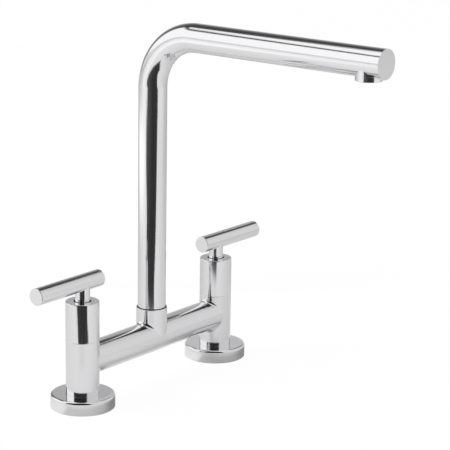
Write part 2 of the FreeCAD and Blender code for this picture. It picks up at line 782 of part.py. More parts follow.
def aerator_housing():
    """Aerator's metal housing: outer ring, thread above it and a lip below."""
    thread_r = SOCKET_THREAD_R - THREAD_FIT
    housing = turned(
        [
            (HOUSING_LIP_R, OUTLET_Z),
            (OUTLET_R, OUTLET_Z),
            (OUTLET_R, SOCKET_Z),
            (thread_r, SOCKET_Z),
            (thread_r, HOUSING_TOP_Z),
            (HOUSING_BORE_R, HOUSING_TOP_Z),
            (HOUSING_BORE_R, INSERT_Z),
            (HOUSING_LIP_R, INSERT_Z),
        ]
    )
    housing = rounded(housing, OUTLET_R, OUTLET_Z, HOUSING_EDGE)
    return moved(housing, y=-OUTLET_REACH)


def aerator_insert():
    """Plastic insert with rings of round holes."""
    top_z = INSERT_Z + INSERT_H
    insert = rod(HOUSING_BORE_R - THREAD_FIT, INSERT_Z, top_z)
    holes = []
    for count, radius in INSERT_RINGS:
        for i in range(count):
            angle = 2 * math.pi * i / count
            hole = rod(INSERT_HOLE_R, INSERT_Z - PAST, top_z + PAST)
            holes.append(moved(hole, radius * math.cos(angle), radius * math.sin(angle)))
    return moved(insert.cut(holes), y=-OUTLET_REACH)


def aerator_washer():
    """Rubber washer between the housing and the socket."""
    washer = ring(
        SOCKET_THREAD_R - THREAD_FIT,
        AERATOR_WASHER_HOLE_R,
        HOUSING_TOP_Z,
        HOUSING_TOP_Z + AERATOR_WASHER_T,
    )
    return moved(washer, y=-OUTLET_REACH)


# ---------------------------------------------------------------- the whole tap

CENTRE_PARTS = {
    "bridge_body": bridge_body,
    "spout_bush": spout_bush,
    "spout_set_screw": spout_set_screw,
    "spout_tube": spout_tube,
    "spout_tail": spout_tail,
    "spout_tail_orings": spout_tail_orings,
    "spout_end_cap": spout_end_cap,
    "outlet_socket": outlet_socket,
    "aerator_housing": aerator_housing,
    "aerator_insert": aerator_insert,
    "aerator_washer": aerator_washer,
}

PILLAR_PARTS = {
    "sleeve": sleeve,
    "flange": flange,
    "flange_gasket": flange_gasket,
    "inlet_tail": inlet_tail,
    "clamp_gasket": clamp_gasket,
    "clamp_washer": clamp_washer,
    "backnut": backnut,
    "cartridge_body": cartridge_body,
    "cartridge_washer": cartridge_washer,
    "seat_seal": seat_seal,
    "fixed_disc": fixed_disc,
    "moving_disc": moving_disc,
    "spindle": spindle,
    "spindle_oring": spindle_oring,
    "circlip": circlip,
    "handle_neck": handle_neck,
    "grub_screw": grub_screw,
}


def build():
    """Every node of the tap, by name."""
    nodes = {name: make() for name, make in CENTRE_PARTS.items()}
    for side, sign in SIDES.items():
        for name, make in PILLAR_PARTS.items():
            nodes[f"{side}_{name}"] = moved(make(), sign * HALF_SPACING)
        nodes[f"{side}_handle_bar"] = moved(handle_bar(sign), sign * HALF_SPACING)
    return nodes


def main():
    """Write one STEP file for each node."""
    os.makedirs("parts", exist_ok=True)
    for name, shape in build().items():
        shape.exportStep(f"parts/{name}.step")
        print(f"{name}: {len(shape.Solids)} solid, {shape.Volume / 1000:.2f} cm3")


main()
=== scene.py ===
"""Dresses the bridge mixer tap: smooth pieces over its frame, their finishes, a studio and a camera.

Sizes in the classes are millimetres in the tap's own frame: the origin is on the deck midway between
the two pillars, +X runs along the bridge to the cold pillar, the spout points along -Y and +Z is up.
"""

import json
import logging
import math
from dataclasses import dataclass
from enum import Enum
from typing import Any, Iterable, Sequence

import bpy
import numpy as np
from mathutils import Matrix, Vector

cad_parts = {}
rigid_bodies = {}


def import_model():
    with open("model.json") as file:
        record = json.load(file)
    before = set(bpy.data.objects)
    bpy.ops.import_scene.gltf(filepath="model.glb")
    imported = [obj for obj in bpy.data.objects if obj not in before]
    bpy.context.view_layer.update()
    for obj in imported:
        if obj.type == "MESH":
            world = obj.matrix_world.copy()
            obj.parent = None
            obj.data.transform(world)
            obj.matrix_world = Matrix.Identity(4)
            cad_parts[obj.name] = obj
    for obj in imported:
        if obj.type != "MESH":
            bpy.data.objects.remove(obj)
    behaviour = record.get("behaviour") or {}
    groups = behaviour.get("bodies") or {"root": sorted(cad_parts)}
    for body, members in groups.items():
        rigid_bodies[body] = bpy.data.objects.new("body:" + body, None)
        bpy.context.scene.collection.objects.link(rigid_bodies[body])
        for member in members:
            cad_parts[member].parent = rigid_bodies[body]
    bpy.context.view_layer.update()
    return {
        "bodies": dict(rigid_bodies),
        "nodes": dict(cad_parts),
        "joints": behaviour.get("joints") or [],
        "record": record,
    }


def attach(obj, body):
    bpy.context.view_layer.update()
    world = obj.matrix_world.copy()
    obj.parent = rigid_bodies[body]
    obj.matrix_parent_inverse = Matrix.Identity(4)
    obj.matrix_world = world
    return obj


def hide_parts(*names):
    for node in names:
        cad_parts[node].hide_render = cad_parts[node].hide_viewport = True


log = logging.getLogger("tap")

Array = np.ndarray
Socket = bpy.types.NodeSocket
Stops = Sequence[tuple[float, float]]

MM = 0.001  # metres in a millimetre
TURN = 2 * math.pi
DEGREES = 360 / TURN
STRAIGHT = 1e-6  # a corner that turns less than this is straight
NOTHING = 1e-9  # a length below this is none
AROUND = 144  # steps of a full turn
HALF = 90.0  # from the middle of the bridge to a pillar's axis
UP = (0.0, 0.0, 1.0)


class Body(Enum):
    """Bodies that pieces ride on."""

    MIXER = "mixer_body"
    SPOUT = "spout"
    HOT = "hot_handle"
    COLD = "cold_handle"


class Side(Enum):
    """The two pillars: which way along X each one stands."""

    HOT = -1
    COLD = 1

    @property
    def word(self) -> str:
        """The side's name in the names of its pieces."""
        return self.name.lower()

    @property
    def handle(self) -> Body:
        """The body of this side's handle."""
        return Body.HOT if self is Side.HOT else Body.COLD


# ---------------------------------------------------------------- node trees


class Graph:
    """A node tree that is written down call by call."""

    PER_ROW = 12
    ACROSS, DOWN = 180, 220

    def __init__(self, tree: bpy.types.NodeTree) -> None:
        """Start on an empty tree.

        Args:
            tree: the shader or geometry tree to fill.
        """
        self.tree = tree
        tree.nodes.clear()

    def node(self, kind: str, inputs: dict[Any, Any] | None = None, **settings: Any) -> bpy.types.Node:
        """Add a node.

        Args:
            kind: the node's type name.
            inputs: a value or a socket for each input, by name or number.
            settings: the node's own properties.

        Returns:
            The new node.
        """
        node = self.tree.nodes.new(kind)
        row, column = divmod(len(self.tree.nodes), self.PER_ROW)
        node.location = (self.ACROSS * column, -self.DOWN * row)
        for name, value in settings.items():
            setattr(node, name, value)
        for name, value in (inputs or {}).items():
            if isinstance(value, Socket):
                self.tree.links.new(value, node.inputs[name])
            else:
                node.inputs[name].default_value = value
        return node

    def math(self, operation: str, *values: Any) -> Socket:
        """The result of a sum or function of one to three values.

        Args:
            operation: Blender's name of the operation.
            values: numbers or sockets.

        Returns:
            The result's socket.
        """
        return self.node("ShaderNodeMath", dict(enumerate(values)), operation=operation).outputs[0]

    def dot(self, vector: Socket, along: Sequence[float]) -> Socket:
        """How far a vector reaches along a direction."""
        inputs = {0: vector, 1: tuple(along)}
        return self.node("ShaderNodeVectorMath", inputs, operation="DOT_PRODUCT").outputs["Value"]

    def ease(self, value: Any, low: Any, high: Any, start: float = 0.0, end: float = 1.0) -> Socket:
        """A smooth step from start to end while the value goes from low to high.

        Args:
            value: what the step follows.
            low: where it starts.
            high: where it ends.
            start: the result below low.
            end: the result above high.

        Returns:
            The result's socket.
        """
        inputs = {"Value": value, "From Min": low, "From Max": high, "To Min": start, "To Max": end}
        return self.node("ShaderNodeMapRange", inputs, interpolation_type="SMOOTHSTEP").outputs["Result"]

    def curve(self, value: Socket, span: tuple[float, float], stops: Stops) -> Socket:
        """A value read off a line through a few stops.

        Args:
            value: what is looked up.
            span: its lowest and highest place.
            stops: place and result of each stop, in order.

        Returns:
            The result's socket.
        """
        low, high = span
        place = self.node(
            "ShaderNodeMapRange", {"Value": value, "From Min": low, "From Max": high}
        ).outputs["Result"]
        ramp = self.node("ShaderNodeValToRGB", {"Fac": place})
        elements = ramp.color_ramp.elements
        while len(elements) < len(stops):
            elements.new(0.5)
        for element, (at, result) in zip(elements, stops):
            element.position = (at - low) / (high - low)
            element.color = (result, result, result, 1.0)
        return ramp.outputs["Color"]

    def mix(self, share: Any, first: Any, second: Any) -> Socket:
        """The value between two numbers or sockets."""
        inputs = {"Factor": share, 2: first, 3: second}
        return self.node("ShaderNodeMix", inputs, data_type="FLOAT").outputs[0]


# ---------------------------------------------------------------- finishes


@dataclass(frozen=True)
class Finish:
    """A surface finish: its colours, its gloss, and the patches and grain that vary them."""

    slot: str
    low: tuple[float, float, float]
    high: tuple[float, float, float]
    rough: tuple[float, float]
    metallic: float
    patch_mm: float
    grain_mm: float
    relief_mm: float
    patch_detail: float = 4.0
    grain_detail: float = 2.0
    stretch: tuple[float, float, float] = (1.0, 1.0, 1.0)
    spread: tuple[float, float] = (0.3, 0.7)

    def noise(self, graph: Graph, size_mm: float, detail: float, stretch: Sequence[float]) -> Socket:
        """A cloudy pattern.

        Args:
            graph: the material's tree.
            size_mm: about how wide one cloud is.
            detail: how many finer layers it has.
            stretch: how much tighter it is along each axis.

        Returns:
            The pattern's value, around one half.
        """
        here = graph.node("ShaderNodeTexCoord").outputs["Object"]
        place = graph.node("ShaderNodeMapping", {"Vector": here, "Scale": tuple(stretch)})
        inputs = {"Vector": place.outputs[0], "Scale": 1 / (size_mm * MM), "Detail": detail}
        return graph.node("ShaderNodeTexNoise", inputs).outputs["Fac"]

    def material(self) -> bpy.types.Material:
        """The finish as a material, made once.

        Returns:
            The material, named as its slot.
        """
        made = bpy.data.materials.get(self.slot)
        if made:
            return made
        made = bpy.data.materials.new(self.slot)
        made.use_nodes = True
        graph = Graph(made.node_tree)
        patches = self.noise(graph, self.patch_mm, self.patch_detail, (1.0, 1.0, 1.0))
        ramp = graph.node("ShaderNodeValToRGB", {"Fac": patches})
        for element, place, colour in zip(ramp.color_ramp.elements, self.spread, (self.low, self.high)):
            element.position = place
            element.color = (*colour, 1.0)
        rough = graph.ease(patches, *self.spread, *self.rough)
        surface = graph.node(
            "ShaderNodeBsdfPrincipled",
            {"Base Color": ramp.outputs["Color"], "Roughness": rough, "Metallic": self.metallic},
        )
        grain = self.noise(graph, self.grain_mm, self.grain_detail, self.stretch)
        relief = {"Height": grain, "Strength": 1.0, "Distance": self.relief_mm * MM}
        bump = graph.node("ShaderNodeBump", relief)
        graph.tree.links.new(bump.outputs["Normal"], surface.inputs["Normal"])
        self.finish_shader(surface)
        graph.node("ShaderNodeOutputMaterial", {"Surface": surface.outputs[0]})
        return made

    def finish_shader(self, surface: bpy.types.Node) -> None:
        """Set what is the same all over the surface: nothing, for plain metal."""


@dataclass(frozen=True)
class PolishedChrome(Finish):
    """Mirror-polished chrome, with the faint haze and long shallow waves that buffing leaves."""

    grain_detail: float = 1.0


@dataclass(frozen=True)
class TurnedMetal(Finish):
    """Metal straight from the lathe, with fine, slightly broken rings across the piece's height."""

    stretch: tuple[float, float, float] = (0.05, 0.05, 1.0)


@dataclass(frozen=True)
class Moulded(Finish):
    """Rubber or plastic: matt, with a fine even grain."""

    specular: float = 0.4

    def finish_shader(self, surface: bpy.types.Node) -> None:
        """Rubber and plastic shine less than glass."""
        surface.inputs["Specular IOR Level"].default_value = self.specular


CHROME = PolishedChrome(
    slot="chrome",
    low=(0.875, 0.88, 0.885),
    high=(0.905, 0.908, 0.912),
    rough=(0.012, 0.03),
    metallic=1.0,
    patch_mm=9.0,
    grain_mm=30.0,
    relief_mm=0.008,
)
BRASS = TurnedMetal(
    slot="brass",
    low=(0.62, 0.44, 0.20),
    high=(0.74, 0.56, 0.29),
    rough=(0.24, 0.38),
    metallic=1.0,
    patch_mm=6.0,
    grain_mm=0.25,
    relief_mm=0.01,
)
STEEL = TurnedMetal(
    slot="steel",
    low=(0.50, 0.51, 0.52),
    high=(0.60, 0.61, 0.62),
    rough=(0.28, 0.42),
    metallic=1.0,
    patch_mm=5.0,
    grain_mm=0.2,
    relief_mm=0.01,
)
RUBBER = Moulded(
    slot="black_rubber",
    low=(0.018, 0.018, 0.018),
    high=(0.034, 0.034, 0.033),
    rough=(0.62, 0.82),
    metallic=0.0,
    patch_mm=4.0,
    grain_mm=0.3,
    relief_mm=0.02,
)
NYLON = Moulded(
    slot="black_nylon",
    low=(0.014, 0.014, 0.015),
    high=(0.026, 0.026, 0.028),
    rough=(0.34, 0.48),
    metallic=0.0,
    patch_mm=4.0,
    grain_mm=0.3,
    relief_mm=0.008,
)
PLASTIC = Moulded(
    slot="grey_plastic",
    low=(0.34, 0.35, 0.36),
    high=(0.42, 0.43, 0.44),
    rough=(0.38, 0.5),
    metallic=0.0,
    patch_mm=3.0,
    grain_mm=0.3,
    relief_mm=0.008,
)
CERAMIC = Moulded(
    slot="ceramic",
    low=(0.78, 0.77, 0.74),
    high=(0.86, 0.85, 0.82),
    rough=(0.12, 0.22),
    metallic=0.0,
    patch_mm=2.0,
    grain_mm=0.2,
    relief_mm=0.002,
)
FINISHES = {f.slot: f for f in (CHROME, BRASS, STEEL, RUBBER, NYLON, PLASTIC, CERAMIC)}


def adopt(piece: bpy.types.Object, body: Body, finish: Finish, replaced: Iterable[str]) -> None:
    """Give a finished piece its finish, its body and the nodes that it stands for.

    Args:
        piece: the piece, already in place.
        body: what it rides on.
        finish: its surface.
        replaced: names of the nodes that it replaces.
    """
    piece.data.materials.clear()
    piece.data.materials.append(finish.material())
    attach(piece, body.value)
    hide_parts(*replaced)
    log.info("%s: %d faces on %s", piece.name, len(piece.data.polygons), body.value)


# ---------------------------------------------------------------- outlines and shells


@dataclass(frozen=True)
class Corner:
    """A corner of an outline in (radius, height), and how much it is rounded."""

    radius: float
    height: float
    ease: float = 0.0


@dataclass(frozen=True)
class Outline:
    """Outline of a turned piece. An open one is walked with the material on its left."""

    corners: tuple[Corner, ...]
    closed: bool = True
    steps: int = 5

    def points(self) -> Array:
        """The corners in walking order, material on the left.

        Returns:
            Radius, height and rounding of each corner.
        """
        plain = np.array([(c.radius, c.height, c.ease) for c in self.corners], float)
        if self.closed:
            x, y = plain[:, 0], plain[:, 1]
            area = (x * np.roll(y, -1) - y * np.roll(x, -1)).sum()
            if area < 0:
                plain = plain[::-1]
        return plain

    def rounding(self, before: Array, here: Array, after: Array) -> tuple[Array, Array]:
        """The points and normals of one corner.

        Args:
            before: the corner before it.
            here: the corner.
            after: the corner after it.

        Returns:
            Points (n, 2) from one side of the corner to the other, and their outward normals.
        """
        into = here[:2] - before[:2]
        away = after[:2] - here[:2]
        into = into / np.linalg.norm(into)
        away = away / np.linalg.norm(away)
        first = np.array((into[1], -into[0]))
        last = np.array((away[1], -away[0]))
        turn = math.atan2(into[0] * away[1] - into[1] * away[0], float(into @ away))
        ease = here[2]
        if ease == 0 or abs(turn) < STRAIGHT:
            return np.array([here[:2], here[:2]]), np.array([first, last])
        way = math.copysign(1.0, turn)
        start = here[:2] - into * ease * math.tan(abs(turn) / 2)
        centre = start - way * ease * first
        shares = np.linspace(0, 1, self.steps + 1) * turn
        cos, sin = np.cos(shares), np.sin(shares)
        normals = np.stack([first[0] * cos - first[1] * sin, first[0] * sin + first[1] * cos], 1)
        return centre + way * ease * normals, normals

    def runs(self) -> list[tuple[Array, Array]]:
        """The outline run by run, straight and round.

        Returns:
            The points (n, 2) of each run and their outward normals.
        """
        plain = self.points()
        count = len(plain)
        turns: list[tuple[Array, Array]] = []
        for i, here in enumerate(plain):
            if not self.closed and i in (0, count - 1):
                turns.append((np.array([here[:2]]), np.zeros((1, 2))))
            else:
                turns.append(self.rounding(plain[i - 1], here, plain[(i + 1) % count]))
        found: list[tuple[Array, Array]] = []
        for i in range(count):
            points, normals = turns[i]
            if len(points) > 2:
                found.append((points, normals))
            if not self.closed and i == count - 1:
                break
            start, end = points[-1], turns[(i + 1) % count][0][0]
            along = end - start
            length = np.linalg.norm(along)
            if length < NOTHING or max(start[0], end[0]) < NOTHING:
                continue
            normal = np.array((along[1], -along[0])) / length
            found.append((np.array([start, end]), np.array([normal, normal])))
        return found


@dataclass(frozen=True)
class Axle:
    """The line that a piece is turned about: its zero height and the direction of its height."""

    foot: tuple[float, float, float] = (0.0, 0.0, 0.0)
    along: tuple[float, float, float] = UP

    def basis(self) -> Array:
        """The axle's own directions.

        Returns:
            Three unit rows: two across the axle and one along it.
        """
        along = np.array(self.along, float)
        across = np.array((1.0, 0.0, 0.0)) if abs(along[0]) < 0.5 else np.array((0.0, 1.0, 0.0))
        return np.array([across, np.cross(along, across), along])

    def place(self, points: Array) -> Array:
        """Points given about a plain Z axis, put about this axle."""
        return points @ self.basis() + np.array(self.foot)

    def swing(self, normals: Array) -> Array:
        """Directions given about a plain Z axis, turned to this axle."""
        return normals @ self.basis()


class Shell:
    """Gathers grids of points with their exact normals and makes one closed mesh of them.

    Points that fall on the same step, in millimetres, are welded.
    """

    STEP = 2e-4

    def __init__(self) -> None:
        """Start with nothing."""
        self.points: list[Array] = []
        self.normals: list[Array] = []
        self.quads: list[Array] = []
        self.count = 0

    def grid(self, points: Array, normals: Array, mirror: bool = False) -> None:
        """Add a grid of quads.

        Args:
            points: (rows, columns, 3) places in millimetres.
            normals: the outward normal at each.
            mirror: also add its mirror image across the plane x = 0.
        """
        rows, columns = points.shape[:2]
        index = np.arange(rows * columns).reshape(rows, columns)
        around = [index[:-1, :-1], index[1:, :-1], index[1:, 1:], index[:-1, 1:]]
        quads = np.stack(around, -1).reshape(-1, 4)
        flat, out = points.reshape(-1, 3), normals.reshape(-1, 3)
        facing = np.cross(flat[quads[:, 2]] - flat[quads[:, 0]], flat[quads[:, 3]] - flat[quads[:, 1]])
        inward = (facing * out[quads].sum(1)).sum(1) < 0
        quads[inward] = quads[inward][:, ::-1]
        self.points.append(flat)
        self.normals.append(out)
        self.quads.append(quads + self.count)
        self.count += len(flat)
        if mirror:
            flip = np.array((-1.0, 1.0, 1.0))
            self.grid(points * flip, normals * flip)

    def turn(self, outline: Outline, axle: Axle, angles: Array | int = AROUND, mirror: bool = False) -> None:
        """Add an outline turned about an axle.

        Args:
            outline: what is turned.
            axle: what it is turned about.
            angles: the angles of the columns, or how many a full turn has.
            mirror: also add the mirror image across the plane x = 0.
        """
        if isinstance(angles, int):
            angles = np.linspace(0, TURN, angles + 1)
        cos, sin = np.cos(angles)[None, :], np.sin(angles)[None, :]
        for run in outline.runs():
            place, facing = (np.stack([v[:, :1] * cos, v[:, :1] * sin, v[:, 1:] + 0 * cos], -1) for v in run)
            self.grid(axle.place(place), axle.swing(facing), mirror)

    def build(self, name: str) -> bpy.types.Object:
        """Weld everything and make the mesh.

        Args:
            name: the new object's name.

        Returns:
            The object, at the origin, its place in its mesh.
        """
        points = np.concatenate(self.points)
        normals = np.concatenate(self.normals)
        quads = np.concatenate(self.quads)
        keys = np.round(points / self.STEP).astype(np.int64)
        _, first, welded = np.unique(keys, axis=0, return_index=True, return_inverse=True)
        welded = welded.reshape(-1)
        faces: list[list[int]] = []
        corners: list[int] = []
        for quad in quads:
            face: list[int] = []
            used: list[int] = []
            for corner in quad:
                vertex = int(welded[corner])
                if vertex not in face:
                    face.append(vertex)
                    used.append(int(corner))
            if len(face) > 2:
                faces.append(face)
                corners += used
        mesh = bpy.data.meshes.new(name)
        mesh.from_pydata((points[first] * MM).tolist(), [], faces)
        mesh.shade_smooth()
        mesh.normals_split_custom_set(normals[corners].tolist())
        edges = np.array([tuple(sorted(e)) for f in faces for e in zip(f, f[1:] + f[:1])])
        _, uses = np.unique(edges, axis=0, return_counts=True)
        if (uses != 2).any():
            log.warning("%s: %d edges aren't closed", name, int((uses != 2).sum()))
        return linked(name, mesh)


def linked(name: str, content: bpy.types.ID) -> bpy.types.Object:
    """Put a mesh, a lamp or a camera in the scene.

    Args:
        name: the new object's name.
        content: what it holds.

    Returns:
        The object, at the origin.
    """
    made = bpy.data.objects.new(name, content)
    bpy.context.scene.collection.objects.link(made)
    return made


def between(start: Array, end: Array, rows: int) -> Array:
    """Rows of points from one row to another, evenly spaced."""
    shares = np.linspace(0, 1, rows)[:, None, None]
    return start[None] * (1 - shares) + end[None] * shares


def upright(x: float = 0.0, y: float = 0.0) -> Axle:
    """A vertical axle through a point of the deck."""
    return Axle((x, y, 0.0))


def closed(*corners: tuple[float, ...]) -> Outline:
    """A closed outline of (radius, height, rounding) corners."""
    return Outline(tuple(Corner(*c) for c in corners))


def walk(*corners: tuple[float, ...]) -> Outline:
    """An open outline of (radius, height, rounding) corners, material on the left."""
    return Outline(tuple(Corner(*c) for c in corners), closed=False)


def level_ring(angles: Array) -> Array:
    """Level unit directions at given angles."""
    return np.stack([np.cos(angles), np.sin(angles), 0 * angles], -1)


def hexagon_rim(flats: float, angles: Array) -> Array:
    """How far a hexagon's edge is from its centre at given angles, by its size across the flats."""
    return flats / 2 / np.cos((angles % (TURN / 6)) - TURN / 12)


def hexagon_sides(per_flat: int) -> list[tuple[slice, Array]]:
    """The six sides of a hexagon that is walked once round.

    Args:
        per_flat: how many steps of the walk each side has.

    Returns:
        The part of the walk on each side, and the side's outward direction.
    """
    middles = level_ring(TURN / 12 + np.arange(6) * TURN / 6)
    return [(slice(per_flat * i, per_flat * (i + 1) + 1), middle) for i, middle in enumerate(middles)]


@dataclass(frozen=True)
class PiercedWall:
    """A round upright wall with one blind screw hole in its back."""

    radius: float
    low: float
    high: float
    hole_z: float
    hole_r: float
    hole_depth: float
    segments: int = 96
    reach: int = 6
    margin: float = 1.1
    rows: int = 9
    rings: int = 4

    def cylinder(self, angles: Array, heights: Array) -> tuple[Array, Array]:
        """Points of the wall.

        Args:
            angles: their angles about the axle.
            heights: their heights.

        Returns:
            The points and their outward normals.
        """
        normals = level_ring(angles)
        points = normals * self.radius
        points[..., 2] = heights
        return points, normals

    def window(self) -> tuple[Array, Array]:
        """The edge of the square that holds the hole, walked once round.

        Returns:
            Angle and height of each point on it.
        """
        step = TURN / self.segments
        across = TURN / 4 + step * np.arange(-self.reach, self.reach + 1)
        half = self.hole_r + self.margin
        up = np.linspace(self.hole_z - half, self.hole_z + half, self.rows)
        low, high = up[:1].repeat(len(across)), up[-1:].repeat(len(across))
        left, right = across[:1].repeat(self.rows - 1), across[-1:].repeat(self.rows - 2)
        angles = np.concatenate([across, right, across[::-1], left])
        heights = np.concatenate([low, up[1:-1], high, up[::-1][1:]])
        return angles, heights

    def add(self, shell: Shell, axle: Axle, foot: Array | None = None) -> None:
        """Add the wall and its hole.

        Args:
            shell: what they are added to.
            axle: the wall's axle, upright.
            foot: heights of the lower edge at each angle, where it isn't level.
        """
        angles = np.linspace(0, TURN, self.segments + 1)
        edge_angles, edge_heights = self.window()
        low, high = edge_heights.min(), edge_heights.max()
        foot = np.full(len(angles), self.low) if foot is None else foot
        for bottom, top in ((foot, 0 * angles + low), (0 * angles + high, 0 * angles + self.high)):
            points, normals = self.cylinder(np.stack([angles, angles]), np.stack([bottom, top]))
            shell.grid(axle.place(points), normals)
        quarter = self.segments // 4
        beside = np.concatenate([angles[quarter + self.reach :], angles[1 : quarter - self.reach + 1] + TURN])
        up = np.linspace(low, high, self.rows)
        points, normals = self.cylinder(*np.meshgrid(beside, up))
        shell.grid(axle.place(points), normals)
        sideways = (edge_angles - TURN / 4) * self.radius
        round_hole = np.arctan2(edge_heights - self.hole_z, sideways)
        hole_angles = TURN / 4 + np.arcsin(self.hole_r * np.cos(round_hole) / self.radius)
        hole_heights = self.hole_z + self.hole_r * np.sin(round_hole)
        shares = np.linspace(0, 1, self.rings)[:, None]
        across = edge_angles + (hole_angles - edge_angles) * shares
        upward = edge_heights + (hole_heights - edge_heights) * shares
        points, normals = self.cylinder(across, upward)
        shell.grid(axle.place(points), normals)
        self.hole(shell, axle, hole_angles, round_hole)

    def hole(self, shell: Shell, axle: Axle, angles: Array, round_hole: Array) -> None:
        """Add the side and the end of the hole.

        Args:
            shell: what they are added to.
            axle: the wall's axle.
            angles: the wall's angles where the hole's edge crosses it.
            round_hole: the matching angles about the hole's own line.
        """
        x = -self.hole_r * np.cos(round_hole)
        z = self.hole_z + self.hole_r * np.sin(round_hole)
        mouth = np.stack([x, self.radius * np.sin(angles), z], -1)
        end = np.stack([x, 0 * x + self.radius - self.hole_depth, z], -1)
        inward = np.stack([np.cos(round_hole), 0 * x, -np.sin(round_hole)], -1)
        shell.grid(axle.place(np.stack([mouth, end])), np.stack([inward, inward]))
        centre = 0 * end + np.array((0, self.radius - self.hole_depth, self.hole_z))
        outward = 0 * end + np.array((0.0, 1.0, 0.0))
        shell.grid(axle.place(np.stack([end, centre])), np.stack([outward, outward]))


@dataclass(frozen=True)
class KeyedScrew:
    """Headless screw seen in a hole: a round end with a hexagonal key socket."""

    radius: float
    flats: float
    depth: float
    near: float
    far: float
    height: float
    ease: float = 0.2
    per_flat: int = 8

    def build(self, name: str, x: float) -> bpy.types.Object:
        """Make the screw, its socket towards the back.

        Args:
            name: the object's name.
            x: where its line crosses the X axis.

        Returns:
            The object.
        """
        shell = Shell()
        axle = Axle((x, 0.0, self.height), (0.0, 1.0, 0.0))
        angles = np.linspace(0, TURN, 6 * self.per_flat + 1)
        side = walk((0, self.near), (self.radius, self.near, self.ease), (self.radius, self.far - self.ease))
        shell.turn(side, axle, angles)
        rim = hexagon_rim(self.flats, angles)
        up = np.array(UP)
        ring = level_ring(angles)
        outer = ring * (self.radius - self.ease) + up * self.far
        edge = ring * self.radius + up * (self.far - self.ease)
        mouth = ring * rim[:, None] + up * self.far
        floor = ring * rim[:, None] + up * (self.far - self.depth)
        centre = 0 * ring + up * (self.far - self.depth)
        flat = 0 * ring + up
        strips = [(edge, outer, (ring + up) / math.sqrt(2)), (outer, mouth, flat)]
        for part, middle in hexagon_sides(self.per_flat):
            strips.append((mouth[part], floor[part], 0 * ring[part] - middle))
        strips.append((floor, centre, flat))
        for first, last, normals in strips:
            shell.grid(axle.place(np.stack([first, last])), axle.swing(np.stack([normals, normals])))
        return shell.build(name)


# ---------------------------------------------------------------- the bridge casting


@dataclass(frozen=True)
class Saddle:
    """The blend between an upright post and the level bridge: a ball rolled round their joint.

    It is worked out with the post at x = 0 and the bridge running towards +X.
    """

    post_r: float
    bridge_r: float
    blend: float
    bridge_z: float
    steps: int = 8

    def centres(self, y: Array, side: int) -> Array:
        """The ball's centre where it is a given way off the bridge's axis.

        Args:
            y: distances from the plane through the post and the bridge.
            side: 1 above the bridge's axis, -1 below it.

        Returns:
            Places (n, 3).
        """
        x = np.sqrt(np.maximum((self.post_r + self.blend) ** 2 - y**2, 0))
        z = np.sqrt(np.maximum((self.bridge_r + self.blend) ** 2 - y**2, 0))
        return np.stack([x, y, self.bridge_z + side * z], -1)

    def touches(self, centres: Array) -> tuple[Array, Array]:
        """Where the ball touches the two surfaces.

        Args:
            centres: the ball's centres.

        Returns:
            Directions from each centre to the bridge and to the post.
        """
        down = centres - np.array((0.0, 0.0, self.bridge_z))
        to_bridge = -down * np.array((0.0, 1.0, 1.0)) / (self.bridge_r + self.blend)
        to_post = -centres * np.array((1.0, 1.0, 0.0)) / (self.post_r + self.blend)
        return to_bridge, to_post

    def surface(self, centres: Array) -> tuple[Array, Array]:
        """The blend from the bridge to the post.

        Args:
            centres: the ball's centres, in order.

        Returns:
            Points and outward normals (steps + 1, n, 3).
        """
        first, last = self.touches(centres)
        angle = np.arccos(np.clip((first * last).sum(-1), -1, 1))[:, None]
        sine = np.maximum(np.sin(angle), NOTHING)
        shares = np.linspace(0, 1, self.steps + 1)[:, None, None]
        toward = (first * np.sin((1 - shares) * angle) + last * np.sin(shares * angle)) / sine
        toward /= np.linalg.norm(toward, axis=-1, keepdims=True)
        return centres[None] + self.blend * toward, -toward


